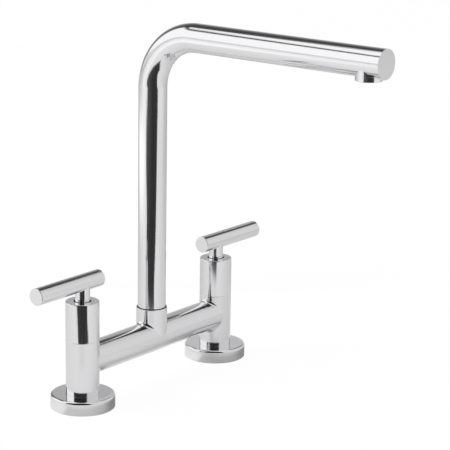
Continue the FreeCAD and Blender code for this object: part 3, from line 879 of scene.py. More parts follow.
@dataclass(frozen=True)
class Casting:
    """Bridge, boss and pillars in one piece, with rolled blends and everything bored in them."""

    half: float = HALF
    pillar_r: float = 14.3
    bridge_r: float = 13.65
    boss_r: float = 13.55
    blend: float = 3.0
    bridge_z: float = 39.9
    foot: float = 3.5
    top: float = 59.1
    boss_top: float = 67.1
    wall_low: float = 5.0
    wall_high: float = 57.8
    boss_wall_high: float = 65.5
    spigot_r: float = 12.6
    spigot_top: float = 64.1
    barrel_r: float = 10.53
    barrel_floor: float = 54.1
    chamber_r: float = 10.0
    seat_z: float = 34.0
    inlet_way_r: float = 6.0
    tail_hole_r: float = 8.55
    tail_hole_top: float = 18.0
    bush_hole_r: float = 10.52
    bush_floor: float = 62.1
    swivel_r: float = 9.55
    swivel_floor: float = 47.1
    spout_way_r: float = 7.0
    lip: float = 0.22
    outer_lip: float = 0.3
    inner_lip: float = 0.2
    screw_z: float = 59.95
    screw_r: float = 1.95
    screw_near: float = 9.7
    screw_sunk: float = 0.3
    screw_key: tuple[float, float] = (2.0, 1.6)  # across the flats, depth
    screw_hole: tuple[float, float] = (2.05, 3.9)  # radius, depth
    columns: int = 48
    back_columns: int = 64
    pillar_flare: tuple[float, float, float] = (38.0, 59.1, 4.5)  # from, to, degrees at its end
    boss_flare: tuple[float, float, float] = (56.0, 67.1, 1.8)

    def offsets(self) -> tuple[Array, Array]:
        """Where the blends' centres are set out.

        Returns:
            Their distances from the bridge's plane, for the boss and for a pillar.
        """
        boss = (self.boss_r + self.blend) * np.sin(np.linspace(-TURN / 4, TURN / 4, self.columns + 1))
        reach = self.bridge_r + self.blend
        limit = math.asin(boss[-1] / reach)
        extra = reach * np.sin(np.linspace(limit, TURN / 4, 4)[1:])
        return boss, np.concatenate([-extra[::-1], boss, extra])

    def bridge_skin(self, shell: Shell, pillar: Saddle, offsets: Array) -> None:
        """Add the straight skin of the bridge, from the pillars to the boss and under it.

        Args:
            shell: what it is added to.
            pillar: the blend at a pillar.
            offsets: distances of the blend's centres from the bridge's plane.
        """
        boss_reach = self.boss_r + self.blend
        for side in (1, -1):
            centres = pillar.centres(offsets, side)
            out = -pillar.touches(centres)[0]
            start = centres - self.blend * out
            start[:, 0] -= self.half
            end = start.copy()
            end[:, 0] = -np.sqrt(np.maximum(boss_reach**2 - offsets**2, 0)) if side == 1 else 0
            points = between(start, end, 7)
            shell.grid(points, np.broadcast_to(out, points.shape), mirror=True)

    def pillar_skin(self, shell: Shell, pillar: Saddle, offsets: Array) -> None:
        """Add the pillars' walls, their blends with the bridge and what is bored in them.

        Args:
            shell: what they are added to.
            pillar: the blend at a pillar.
            offsets: distances of the blend's centres from the bridge's plane.
        """
        shift = np.array((-self.half, 0.0, 0.0))
        for side, limit in ((1, self.wall_high), (-1, self.wall_low)):
            centres = pillar.centres(offsets, side)
            points, normals = pillar.surface(centres)
            shell.grid(points + shift, normals, mirror=True)
            start, out = points[-1], normals[-1]
            end = start.copy()
            end[:, 2] = limit
            wall = between(start, end, 4)
            shell.grid(wall + shift, np.broadcast_to(out, wall.shape), mirror=True)
        edge = np.arcsin(offsets / (self.pillar_r + self.blend))
        back = np.linspace(edge[-1], TURN + edge[0], self.back_columns + 1)
        out = level_ring(back)
        below = np.linspace(self.wall_low, self.bridge_z, 4)
        above = np.linspace(self.bridge_z, self.wall_high, 4)
        levels = np.concatenate([below, above[1:]])
        wall = np.broadcast_to(out * self.pillar_r, (len(levels), *out.shape)).copy()
        wall[..., 2] = levels[:, None]
        shell.grid(wall + shift, np.broadcast_to(out, wall.shape), mirror=True)
        bores = walk(
            (self.pillar_r, self.wall_high),
            (self.pillar_r, self.top, self.lip),
            (self.spigot_r, self.top),
            (self.spigot_r, self.spigot_top, self.outer_lip),
            (self.barrel_r, self.spigot_top, self.inner_lip),
            (self.barrel_r, self.barrel_floor),
            (self.chamber_r, self.barrel_floor),
            (self.chamber_r, self.seat_z),
            (self.inlet_way_r, self.seat_z),
            (self.inlet_way_r, self.tail_hole_top),
            (self.tail_hole_r, self.tail_hole_top),
            (self.tail_hole_r, self.foot),
            (self.pillar_r, self.foot, self.inner_lip),
            (self.pillar_r, self.wall_low),
        )
        shell.turn(bores, upright(-self.half), np.concatenate([edge, back[1:]]), mirror=True)

    def boss_skin(self, shell: Shell, offsets: Array) -> None:
        """Add the boss: its blend with the bridge, its wall with the set screw's hole, its well.

        Args:
            shell: what they are added to.
            offsets: distances of the blend's centres from the bridge's plane.
        """
        saddle = Saddle(self.boss_r, self.bridge_r, self.blend, self.bridge_z)
        centres = saddle.centres(offsets, 1)
        points, normals = saddle.surface(centres)
        shell.grid(points, normals, mirror=True)
        hole_r, hole_depth = self.screw_hole
        wall = PiercedWall(
            radius=self.boss_r,
            low=0.0,
            high=self.boss_wall_high,
            hole_z=self.screw_z,
            hole_r=hole_r,
            hole_depth=hole_depth,
            segments=2 * self.columns,
            reach=5,
        )
        angles = np.linspace(0, TURN, 2 * self.columns + 1)
        reach = (self.boss_r + self.blend) * np.sin(angles)
        foot = self.bridge_z + np.sqrt((self.bridge_r + self.blend) ** 2 - reach**2)
        wall.add(shell, upright(), foot)
        well = walk(
            (self.boss_r, self.boss_wall_high),
            (self.boss_r, self.boss_top, self.outer_lip),
            (self.bush_hole_r, self.boss_top),
            (self.bush_hole_r, self.bush_floor),
            (self.swivel_r, self.bush_floor),
            (self.swivel_r, self.swivel_floor),
            (self.spout_way_r, self.swivel_floor),
            (self.spout_way_r, self.bridge_z),
            (0.0, self.bridge_z),
        )
        shell.turn(well, upright(), angles)

    def flared(self, points: Array, normals: Array) -> Array:
        """Turn the upright walls' normals down a little under the seams, where polishing flares them.

        Args:
            points: places on the casting.
            normals: the outward normal at each.

        Returns:
            The normals to shade with.
        """
        turned = normals.copy()
        upright_share = np.clip(1 - normals[:, 2] ** 2, 0, 1)
        on_boss = np.abs(points[:, 0]) < self.half / 2
        for here, (low, high, degrees) in ((on_boss, self.boss_flare), (~on_boss, self.pillar_flare)):
            share = np.clip((points[:, 2] - low) / (high - low), 0, 1)
            turned[:, 2] -= here * share * upright_share * math.radians(degrees)
        return turned / np.linalg.norm(turned, axis=1, keepdims=True)

    def build(self) -> None:
        """Make the casting and the set screw in the back of its boss."""
        shell = Shell()
        boss_offsets, offsets = self.offsets()
        pillar = Saddle(self.pillar_r, self.bridge_r, self.blend, self.bridge_z)
        self.bridge_skin(shell, pillar, offsets)
        self.pillar_skin(shell, pillar, offsets)
        self.boss_skin(shell, boss_offsets)
        shell.normals = [self.flared(p, n) for p, n in zip(shell.points, shell.normals)]
        adopt(shell.build("bridge_casting"), Body.MIXER, CHROME, ["bridge_body"])
        flats, depth = self.screw_key
        screw = KeyedScrew(
            radius=self.screw_r,
            flats=flats,
            depth=depth,
            near=self.screw_near,
            far=self.boss_r - self.screw_sunk,
            height=self.screw_z,
        )
        adopt(screw.build("boss_set_screw", 0.0), Body.MIXER, STEEL, ["spout_set_screw"])


# ---------------------------------------------------------------- pillars and handles


@dataclass(frozen=True)
class Pillar:
    """What is turned about a pillar's line: sleeve, flange, gaskets and washer."""

    side: Side
    half: float = HALF
    sleeve_r: float = 14.3
    sleeve_foot: float = 59.1
    sleeve_top: float = 92.8
    sleeve_edge: float = 0.8
    thread_r: float = 12.65
    thread_top: float = 64.1
    hollow_r: float = 13.0
    neck_gap_r: float = 7.5
    cover: float = 2.5
    flange_r: float = 27.5
    flange_h: float = 11.8
    flange_edge: float = 2.2
    flange_hole_r: float = 11.0
    hub_r: float = 17.6
    rim_inner_r: float = 25.5
    hollow_top: float = 9.5
    pillar_fit_r: float = 14.35
    pillar_foot: float = 3.5
    gasket_radii: tuple[float, float] = (17.7, 25.4)  # inner, outer
    gasket_h: float = 3.0
    clamp_hole_r: float = 10.88
    clamp_gasket_r: float = 18.0
    clamp_washer_r: float = 19.0
    clamp_levels: tuple[float, float, float] = (-34.5, -33.0, -30.0)  # washer's foot, joint, gasket's top

    def sleeve(self) -> Outline:
        """Plain sleeve with an open ring in its top.

        Returns:
            Its outline.
        """
        return closed(
            (self.thread_r, self.sleeve_foot),
            (self.sleeve_r, self.sleeve_foot, 0.22),
            (self.sleeve_r, self.sleeve_top, self.sleeve_edge),
            (self.neck_gap_r, self.sleeve_top, 0.15),
            (self.neck_gap_r, self.sleeve_top - self.cover),
            (self.hollow_r, self.sleeve_top - self.cover),
            (self.hollow_r, self.thread_top),
            (self.thread_r, self.thread_top),
        )

    def flange(self) -> Outline:
        """Round cover plate, hollow underneath.

        Returns:
            Its outline.
        """
        return closed(
            (self.flange_hole_r, 0.0),
            (self.hub_r, 0.0),
            (self.hub_r, self.hollow_top),
            (self.rim_inner_r, self.hollow_top),
            (self.rim_inner_r, 0.0),
            (self.flange_r, 0.0, 0.3),
            (self.flange_r, self.flange_h, self.flange_edge),
            (self.pillar_fit_r, self.flange_h, 0.12),
            (self.pillar_fit_r, self.pillar_foot),
            (self.flange_hole_r, self.pillar_foot),
        )

    def flange_gasket(self) -> Outline:
        """Rubber ring in the flange's hollow."""
        inner, outer = self.gasket_radii
        return closed((inner, 0), (outer, 0, 0.3), (outer, self.gasket_h), (inner, self.gasket_h))

    def clamp_gasket(self) -> Outline:
        """Rubber ring under the deck."""
        (_, low, high), hole, rim = self.clamp_levels, self.clamp_hole_r, self.clamp_gasket_r
        return closed((hole, low), (rim, low, 0.5), (rim, high, 0.5), (hole, high))

    def clamp_washer(self) -> Outline:
        """Steel washer under the rubber."""
        (low, high, _), hole, rim = self.clamp_levels, self.clamp_hole_r, self.clamp_washer_r
        return closed((hole, low, 0.1), (rim, low, 0.3), (rim, high, 0.15), (hole, high, 0.1))

    def build(self) -> None:
        """Make the pieces of this pillar."""
        axle = upright(self.side.value * self.half)
        word = self.side.word
        rings = {
            "sleeve": (self.sleeve(), CHROME),
            "flange": (self.flange(), CHROME),
            "flange_gasket": (self.flange_gasket(), RUBBER),
            "clamp_gasket": (self.clamp_gasket(), RUBBER),
            "clamp_washer": (self.clamp_washer(), STEEL),
        }
        for name, (outline, finish) in rings.items():
            shell = Shell()
            shell.turn(outline, axle)
            adopt(shell.build(f"{word}_{name}_turned"), Body.MIXER, finish, [f"{word}_{name}"])


@dataclass(frozen=True)
class Handle:
    """A T-bar on its neck, with the grub screw in the neck's back."""

    side: Side
    half: float = HALF
    neck_r: float = 6.5
    neck_foot: float = 80.0
    neck_top: float = 108.0
    neck_around: int = 96
    wall_low: float = 91.0
    wall_high: float = 102.0
    bar_r: float = 7.25
    bar_z: float = 108.5
    long_end: float = 56.0
    short_end: float = 20.8
    bar_edge: float = 0.5
    bore_r: float = 3.95
    bore_top: float = 99.7
    grub_z: float = 97.025
    grub_r: float = 1.95
    grub_length: float = 2.15
    grub_sunk: float = 0.25
    grub_key: tuple[float, float] = (2.0, 1.2)  # across the flats, depth
    grub_hole: tuple[float, float] = (2.05, 2.5)  # radius, depth

    def neck(self) -> Shell:
        """The neck: pierced wall, bore for the spindle below, closed inside the bar above.

        Returns:
            Its shell.
        """
        shell = Shell()
        axle = upright(self.side.value * self.half)
        hole_r, hole_depth = self.grub_hole
        wall = PiercedWall(
            radius=self.neck_r,
            low=self.wall_low,
            high=self.wall_high,
            hole_z=self.grub_z,
            hole_r=hole_r,
            hole_depth=hole_depth,
            segments=self.neck_around,
            reach=8,
            margin=0.8,
        )
        wall.add(shell, axle)
        top = walk((self.neck_r, self.wall_high), (self.neck_r, self.neck_top), (0, self.neck_top))
        bore = walk(
            (0, self.bore_top),
            (self.bore_r, self.bore_top),
            (self.bore_r, self.neck_foot, 0.2),
            (self.neck_r, self.neck_foot, 0.3),
            (self.neck_r, self.wall_low),
        )
        for outline in (top, bore):
            shell.turn(outline, axle, self.neck_around)
        return shell

    def bar(self) -> Shell:
        """The T-bar, long end outwards.

        Returns:
            Its shell.
        """
        shell = Shell()
        low, high = sorted((self.side.value * self.long_end, -self.side.value * self.short_end))
        rim, ease = self.bar_r, self.bar_edge
        axle = Axle((self.side.value * self.half, 0.0, self.bar_z), (1.0, 0.0, 0.0))
        shell.turn(closed((0, low), (rim, low, ease), (rim, high, ease), (0, high)), axle)
        return shell

    def build(self) -> None:
        """Make the handle's pieces."""
        word, body = self.side.word, self.side.handle
        adopt(self.neck().build(f"{word}_neck"), body, CHROME, [f"{word}_handle_neck"])
        adopt(self.bar().build(f"{word}_t_bar"), body, CHROME, [f"{word}_handle_bar"])
        flats, depth = self.grub_key
        far = self.neck_r - self.grub_sunk
        screw = KeyedScrew(
            radius=self.grub_r,
            flats=flats,
            depth=depth,
            near=far - self.grub_length,
            far=far,
            height=self.grub_z,
        )
        grub = screw.build(f"{word}_grub", self.side.value * self.half)
        adopt(grub, body, STEEL, [f"{word}_grub_screw"])


# ---------------------------------------------------------------- grown pieces (geometry nodes)


class Growth:
    """A mesh grown by a geometry node tree with named inputs."""

    def __init__(self, name: str, sizes: dict[str, float | int]) -> None:
        """Start a tree.

        Args:
            name: the tree's name.
            sizes: the value of each named input.
        """
        self.name = name
        self.sizes = sizes
        self.tree = bpy.data.node_groups.new(name, "GeometryNodeTree")
        self.graph = Graph(self.tree)
        for label, value in sizes.items():
            kind = "NodeSocketInt" if isinstance(value, int) else "NodeSocketFloat"
            socket = self.tree.interface.new_socket(label, in_out="INPUT", socket_type=kind)
            socket.default_value = value
        self.tree.interface.new_socket("Geometry", in_out="OUTPUT", socket_type="NodeSocketGeometry")
        self.inputs = self.graph.node("NodeGroupInput").outputs

    def vector(self, x: Any = 0.0, y: Any = 0.0, z: Any = 0.0) -> Socket:
        """A vector put together from numbers or sockets."""
        return self.graph.node("ShaderNodeCombineXYZ", {"X": x, "Y": y, "Z": z}).outputs[0]

    def harvest(self, geometry: Socket, finish: Finish, name: str) -> bpy.types.Object:
        """End the tree, run it once and keep its result as a plain object.

        Args:
            geometry: what the tree made.
            finish: the material that it sets.
            name: the new object's name.

        Returns:
            The object, with no modifier left on it.
        """
        real = self.graph.node("GeometryNodeRealizeInstances", {"Geometry": geometry})
        dressed = self.graph.node(
            "GeometryNodeSetMaterial", {"Geometry": real.outputs[0], "Material": finish.material()}
        )
        self.graph.node("NodeGroupOutput", {"Geometry": dressed.outputs[0]})
        host = linked(name + "_host", bpy.data.meshes.new(name + "_host"))
        modifier = host.modifiers.new(self.name, "NODES")
        modifier.node_group = self.tree
        for item in self.tree.interface.items_tree:
            if item.in_out == "INPUT":
                modifier[item.identifier] = self.sizes[item.name]
        grown = host.evaluated_get(bpy.context.evaluated_depsgraph_get())
        mesh = bpy.data.meshes.new_from_object(grown)
        host.modifiers.remove(modifier)
        bpy.data.objects.remove(host)
        mesh.name = name
        return linked(name, mesh)

    def link(self, source: Socket, target: bpy.types.NodeSocket) -> None:
        """Join a result to an input that takes several, or that was added later."""
        self.tree.links.new(source, target)


@dataclass(frozen=True)
class RoundSkin:
    """A straight or bent round surface that a grown mesh lies on, with its exact normals."""

    radius: float
    foot: tuple[float, float, float]
    along: tuple[float, float, float]
    outward: int = 1
    bend_r: float = 0.0

    def measure(self, points: Array) -> tuple[Array, Array]:
        """Distance of points from the skin, and the skin's normal there.

        Args:
            points: places (..., 3) in millimetres.

        Returns:
            Unsigned distances and outward normals.
        """
        along = np.array(self.along)
        off = points - np.array(self.foot)
        off = off - (off @ along)[..., None] * along
        if self.bend_r:
            reach = np.linalg.norm(off, axis=-1, keepdims=True)
            ring = off * self.bend_r / np.maximum(reach, NOTHING)
            off = points - np.array(self.foot) - ring
        length = np.linalg.norm(off, axis=-1)
        normals = self.outward * off / np.maximum(length, NOTHING)[..., None]
        return np.abs(length - self.radius), normals


def true_normals(
    piece: bpy.types.Object, skins: Sequence[RoundSkin], slack: float = 0.03, agree: float = 0.8
) -> None:
    """Give each face of a grown piece the exact normals of the skin that it lies on.

    Args:
        piece: the piece. A face on none of the skins stays flat.
        skins: the surfaces, the first that fits being taken.
        slack: how far off a skin a corner may lie, in millimetres.
        agree: the least cosine between a face's normal and the skin's.
    """
    mesh = piece.data
    count = len(mesh.loops)
    places = np.empty(len(mesh.vertices) * 3)
    mesh.vertices.foreach_get("co", places)
    places = places.reshape(-1, 3) / MM
    corner = np.empty(count, int)
    mesh.loops.foreach_get("vertex_index", corner)
    totals = np.empty(len(mesh.polygons), int)
    mesh.polygons.foreach_get("loop_total", totals)
    facing = np.empty(len(mesh.polygons) * 3)
    mesh.polygons.foreach_get("normal", facing)
    starts = np.concatenate([[0], np.cumsum(totals)[:-1]])
    flat = facing.reshape(-1, 3).repeat(totals, 0)
    normals, free = flat.copy(), np.ones(len(totals), bool)
    for skin in skins:
        distance, exact = skin.measure(places[corner])
        good = (distance < slack) & ((exact * flat).sum(-1) > agree)
        fits = np.logical_and.reduceat(good, starts) & free
        free &= ~fits
        chosen = fits.repeat(totals)
        normals[chosen] = exact[chosen]
    mesh.shade_smooth()
    mesh.normals_split_custom_set(normals.tolist())


@dataclass(frozen=True)
class Spout:
    """The bent tube, the disc that closes it, and the bush that it turns in."""

    tube_r: float = 12.3
    wall: float = 1.2
    foot: float = 67.65
    arm_z: float = 309.1
    reach: float = 235.1
    bend_r: float = 47.5
    edge: float = 0.3
    outlet_r: float = 11.02
    outlet_reach: float = 219.3
    around: int = AROUND
    bend_steps: int = 64
    cap_fit: float = 0.02
    cap_depth: float = 2.5
    bush_bore: float = 9.55
    bush_r: float = 10.5
    bush_levels: tuple[float, float, float] = (62.1, 67.1, 67.6)  # foot, under the rim, top
    bush_rim_r: float = 12.9
    bush_edge: float = 0.1

    def path(self, growth: Growth, low: Socket, far: Socket) -> Socket:
        """The centreline: up, round the bend and level.

        Args:
            growth: the tree.
            low: height of its lower end.
            far: distance of its far end.

        Returns:
            The curve.
        """
        graph, inputs = growth.graph, growth.inputs
        top = inputs["Arm Height"]
        end = growth.vector(y=graph.math("MULTIPLY", far, -1.0), z=top)
        stops = (growth.vector(z=low), growth.vector(z=top), end)
        line = graph.node("GeometryNodeMeshLine", {"Count": len(stops)}, mode="OFFSET")
        pick = graph.node("GeometryNodeIndexSwitch", data_type="VECTOR")
        pick.index_switch_items.new()
        growth.link(graph.node("GeometryNodeInputIndex").outputs[0], pick.inputs["Index"])
        for i, stop in enumerate(stops):
            growth.link(stop, pick.inputs[i + 1])
        placed = graph.node(
            "GeometryNodeSetPosition", {"Geometry": line.outputs[0], "Position": pick.outputs[0]}
        )
        curve = graph.node("GeometryNodeMeshToCurve", {"Mesh": placed.outputs[0]})
        bent = graph.node(
            "GeometryNodeFilletCurve",
            {
                "Curve": curve.outputs[0],
                "Radius": inputs["Bend Radius"],
                "Count": inputs["Bend Steps"],
                "Limit Radius": False,
            },
            mode="POLY",
        )
        return bent.outputs[0]

    def rod(self, growth: Growth, path: Socket, radius: Socket) -> Socket:
        """A solid rod along a path.

        Args:
            growth: the tree.
            path: its centreline.
            radius: its radius.

        Returns:
            The mesh.
        """
        around = {"Resolution": growth.inputs["Around"], "Radius": radius}
        circle = growth.graph.node("GeometryNodeCurvePrimitiveCircle", around)
        sweep = {"Curve": path, "Profile Curve": circle.outputs[0], "Fill Caps": True}
        return growth.graph.node("GeometryNodeCurveToMesh", sweep).outputs[0]

    def grow(self) -> bpy.types.Object:
        """Sweep the tube along its path and cut the outlet's opening in it.

        Returns:
            The tube.
        """
        sizes = {
            "Foot": self.foot * MM,
            "Arm Height": self.arm_z * MM,
            "Reach": self.reach * MM,
            "Bend Radius": self.bend_r * MM,
            "Bend Steps": self.bend_steps,
            "Tube Radius": self.tube_r * MM,
            "Wall": self.wall * MM,
            "Around": self.around,
            "Outlet Radius": self.outlet_r * MM,
            "Outlet Reach": self.outlet_reach * MM,
        }
        growth = Growth("spout_along_its_path", sizes)
        graph, inputs = growth.graph, growth.inputs
        past = MM
        outer_path = self.path(growth, inputs["Foot"], inputs["Reach"])
        below, beyond = graph.math("SUBTRACT", inputs["Foot"], past), graph.math("ADD", inputs["Reach"], past)
        inner_path = self.path(growth, below, beyond)
        bore_r = graph.math("SUBTRACT", inputs["Tube Radius"], inputs["Wall"])
        outer = self.rod(growth, outer_path, inputs["Tube Radius"])
        inner = self.rod(growth, inner_path, bore_r)
        cutter = graph.node(
            "GeometryNodeMeshCylinder",
            {
                "Vertices": inputs["Around"],
                "Radius": inputs["Outlet Radius"],
                "Depth": graph.math("MULTIPLY", inputs["Tube Radius"], 2.0),
            },
        )
        middle = graph.math("SUBTRACT", inputs["Arm Height"], inputs["Tube Radius"])
        place = growth.vector(y=graph.math("MULTIPLY", inputs["Outlet Reach"], -1.0), z=middle)
        opening = graph.node("GeometryNodeTransform", {"Geometry": cutter.outputs[0], "Translation": place})
        cut = graph.node("GeometryNodeMeshBoolean", operation="DIFFERENCE", solver="EXACT")
        growth.link(outer, cut.inputs["Mesh 1"])
        growth.link(inner, cut.inputs["Mesh 2"])
        growth.link(opening.outputs[0], cut.inputs["Mesh 2"])
        return growth.harvest(cut.outputs[0], CHROME, "spout_swept_tube")

    def skins(self) -> list[RoundSkin]:
        """What the tube's faces lie on.

        Returns:
            The outer and inner skins of riser, bend and arm, and the opening's edge.
        """
        corner = (0.0, -self.bend_r, self.arm_z - self.bend_r)
        found = []
        for radius, outward in ((self.tube_r, 1), (self.tube_r - self.wall, -1)):
            found += [
                RoundSkin(radius, (0.0, 0.0, 0.0), UP, outward),
                RoundSkin(radius, (0.0, 0.0, self.arm_z), (0.0, 1.0, 0.0), outward),
                RoundSkin(radius, corner, (1.0, 0.0, 0.0), outward, self.bend_r),
            ]
        opening = RoundSkin(self.outlet_r, (0.0, -self.outlet_reach, 0.0), UP, -1)
        return [*found, opening]

    def bush(self) -> Outline:
        """The bush: a sleeve in the boss with a thin rim that shows between boss and riser.

        Returns:
            Its outline.
        """
        low, seat, top = self.bush_levels
        return closed(
            (self.bush_bore, low),
            (self.bush_r, low),
            (self.bush_r, seat),
            (self.bush_rim_r, seat),
            (self.bush_rim_r, top, self.bush_edge),
            (self.bush_bore, top),
        )

    def build(self) -> None:
        """Make the spout's pieces."""
        tube = self.grow()
        true_normals(tube, self.skins())
        adopt(tube, Body.SPOUT, CHROME, ["spout_tube"])
        rim = self.tube_r - self.wall - self.cap_fit
        cap = Shell()
        disc = closed((0, 0), (rim, 0), (rim, self.cap_depth), (0, self.cap_depth))
        cap.turn(disc, Axle((0.0, -self.reach, self.arm_z), (0.0, 1.0, 0.0)))
        adopt(cap.build("spout_end_disc"), Body.SPOUT, CHROME, ["spout_end_cap"])
        bush = Shell()
        bush.turn(self.bush(), upright())
        adopt(bush.build("swivel_bush"), Body.MIXER, NYLON, ["spout_bush"])


@dataclass(frozen=True)
class Outlet:
    """The socket in the arm's underside and the aerator screwed in it."""

    reach: float = 219.3
    ring_r: float = 11.0
    mouth: float = 294.6
    seam: float = 299.0
    edge: float = 0.15
    socket_thread_r: float = 9.6
    socket_way_r: float = 8.4
    socket_step: float = 304.6
    socket_top: float = 306.0
    mouth_r: float = 7.7
    housing_thread_r: float = 9.55
    housing_bore: float = 8.25
    housing_top: float = 303.0
    insert_r: float = 8.2
    insert_foot: float = 295.4
    insert_h: float = 6.2
    insert_around: int = 96
    hole_r: float = 0.8
    hole_around: int = 20
    rings: tuple[tuple[int, float], ...] = ((1, 0.0), (6, 3.0), (12, 6.0))  # holes on each, its radius

    def spots(self, growth: Growth, ring: int) -> Socket:
        """The middles of the holes on one ring.

        Args:
            growth: the tree.
            ring: which ring it is. One hole alone stands in the middle.

        Returns:
            The points.
        """
        count, radius = growth.inputs[f"Holes {ring}"], growth.inputs[f"Ring {ring}"]
        if self.rings[ring][0] == 1:
            return growth.graph.node("GeometryNodeMeshLine", {"Count": count}).outputs[0]
        circle = {"Resolution": count, "Radius": radius}
        return growth.graph.node("GeometryNodeCurvePrimitiveCircle", circle).outputs[0]

    def grow_insert(self) -> bpy.types.Object:
        """Grow the perforated insert: a disc less holes set out on rings.

        Returns:
            The insert.
        """
        sizes: dict[str, float | int] = {
            "Disc Radius": self.insert_r * MM,
            "Thickness": self.insert_h * MM,
            "Hole Radius": self.hole_r * MM,
            "Foot": self.insert_foot * MM,
            "Reach": self.reach * MM,
        }
        for i, (count, radius) in enumerate(self.rings):
            sizes[f"Holes {i}"] = count
            sizes[f"Ring {i}"] = radius * MM
        growth = Growth("aerator_perforations", sizes)
        graph, inputs = growth.graph, growth.inputs
        disc = graph.node(
            "GeometryNodeMeshCylinder",
            {"Vertices": self.insert_around, "Radius": inputs["Disc Radius"], "Depth": inputs["Thickness"]},
        )
        drill = graph.node(
            "GeometryNodeMeshCylinder",
            {
                "Vertices": self.hole_around,
                "Radius": inputs["Hole Radius"],
                "Depth": graph.math("MULTIPLY", inputs["Thickness"], 1.5),
            },
        )
        cut = graph.node("GeometryNodeMeshBoolean", operation="DIFFERENCE", solver="EXACT")
        growth.link(disc.outputs["Mesh"], cut.inputs["Mesh 1"])
        for i in range(len(self.rings)):
            drilled = {"Points": self.spots(growth, i), "Instance": drill.outputs["Mesh"]}
            drills = graph.node("GeometryNodeInstanceOnPoints", drilled)
            real = graph.node("GeometryNodeRealizeInstances", {"Geometry": drills.outputs[0]})
            growth.link(real.outputs[0], cut.inputs["Mesh 2"])
        height = graph.math("MULTIPLY_ADD", inputs["Thickness"], 0.5, inputs["Foot"])
        place = growth.vector(y=graph.math("MULTIPLY", inputs["Reach"], -1.0), z=height)
        moved = graph.node("GeometryNodeTransform", {"Geometry": cut.outputs[0], "Translation": place})
        return growth.harvest(moved.outputs[0], PLASTIC, "aerator_perforated_insert")

    def socket(self) -> Outline:
        """The threaded ring in the arm's underside.

        Returns:
            Its outline.
        """
        return closed(
            (self.socket_thread_r, self.seam),
            (self.ring_r, self.seam, self.edge),
            (self.ring_r, self.socket_top),
            (self.socket_way_r, self.socket_top),
            (self.socket_way_r, self.socket_step),
            (self.socket_thread_r, self.socket_step),
        )

    def housing(self) -> Outline:
        """The aerator's ring, screwed in the socket.

        Returns:
            Its outline.
        """
        return closed(
            (self.mouth_r, self.mouth, 0.25),
            (self.ring_r, self.mouth, 0.4),
            (self.ring_r, self.seam, self.edge),
            (self.housing_thread_r, self.seam),
            (self.housing_thread_r, self.housing_top),
            (self.housing_bore, self.housing_top),
            (self.housing_bore, self.insert_foot),
            (self.mouth_r, self.insert_foot),
        )

    def build(self) -> None:
        """Make the outlet's pieces."""
        rings = {
            "outlet_socket_ring": (self.socket(), "outlet_socket"),
            "aerator_ring": (self.housing(), "aerator_housing"),
        }
        for name, (outline, node) in rings.items():
            shell = Shell()
            shell.turn(outline, upright(y=-self.reach))
            adopt(shell.build(name), Body.SPOUT, CHROME, [node])
        insert = self.grow_insert()
        skins = [RoundSkin(self.insert_r, (0.0, -self.reach, 0.0), UP)]
        for count, radius in self.rings:
            for i in range(count):
                angle = TURN * i / count
                spot = (radius * math.cos(angle), radius * math.sin(angle) - self.reach, 0.0)
                skins.append(RoundSkin(self.hole_r, spot, UP, -1))
        true_normals(insert, skins, slack=0.06)
        adopt(insert, Body.SPOUT, PLASTIC, ["aerator_insert"])


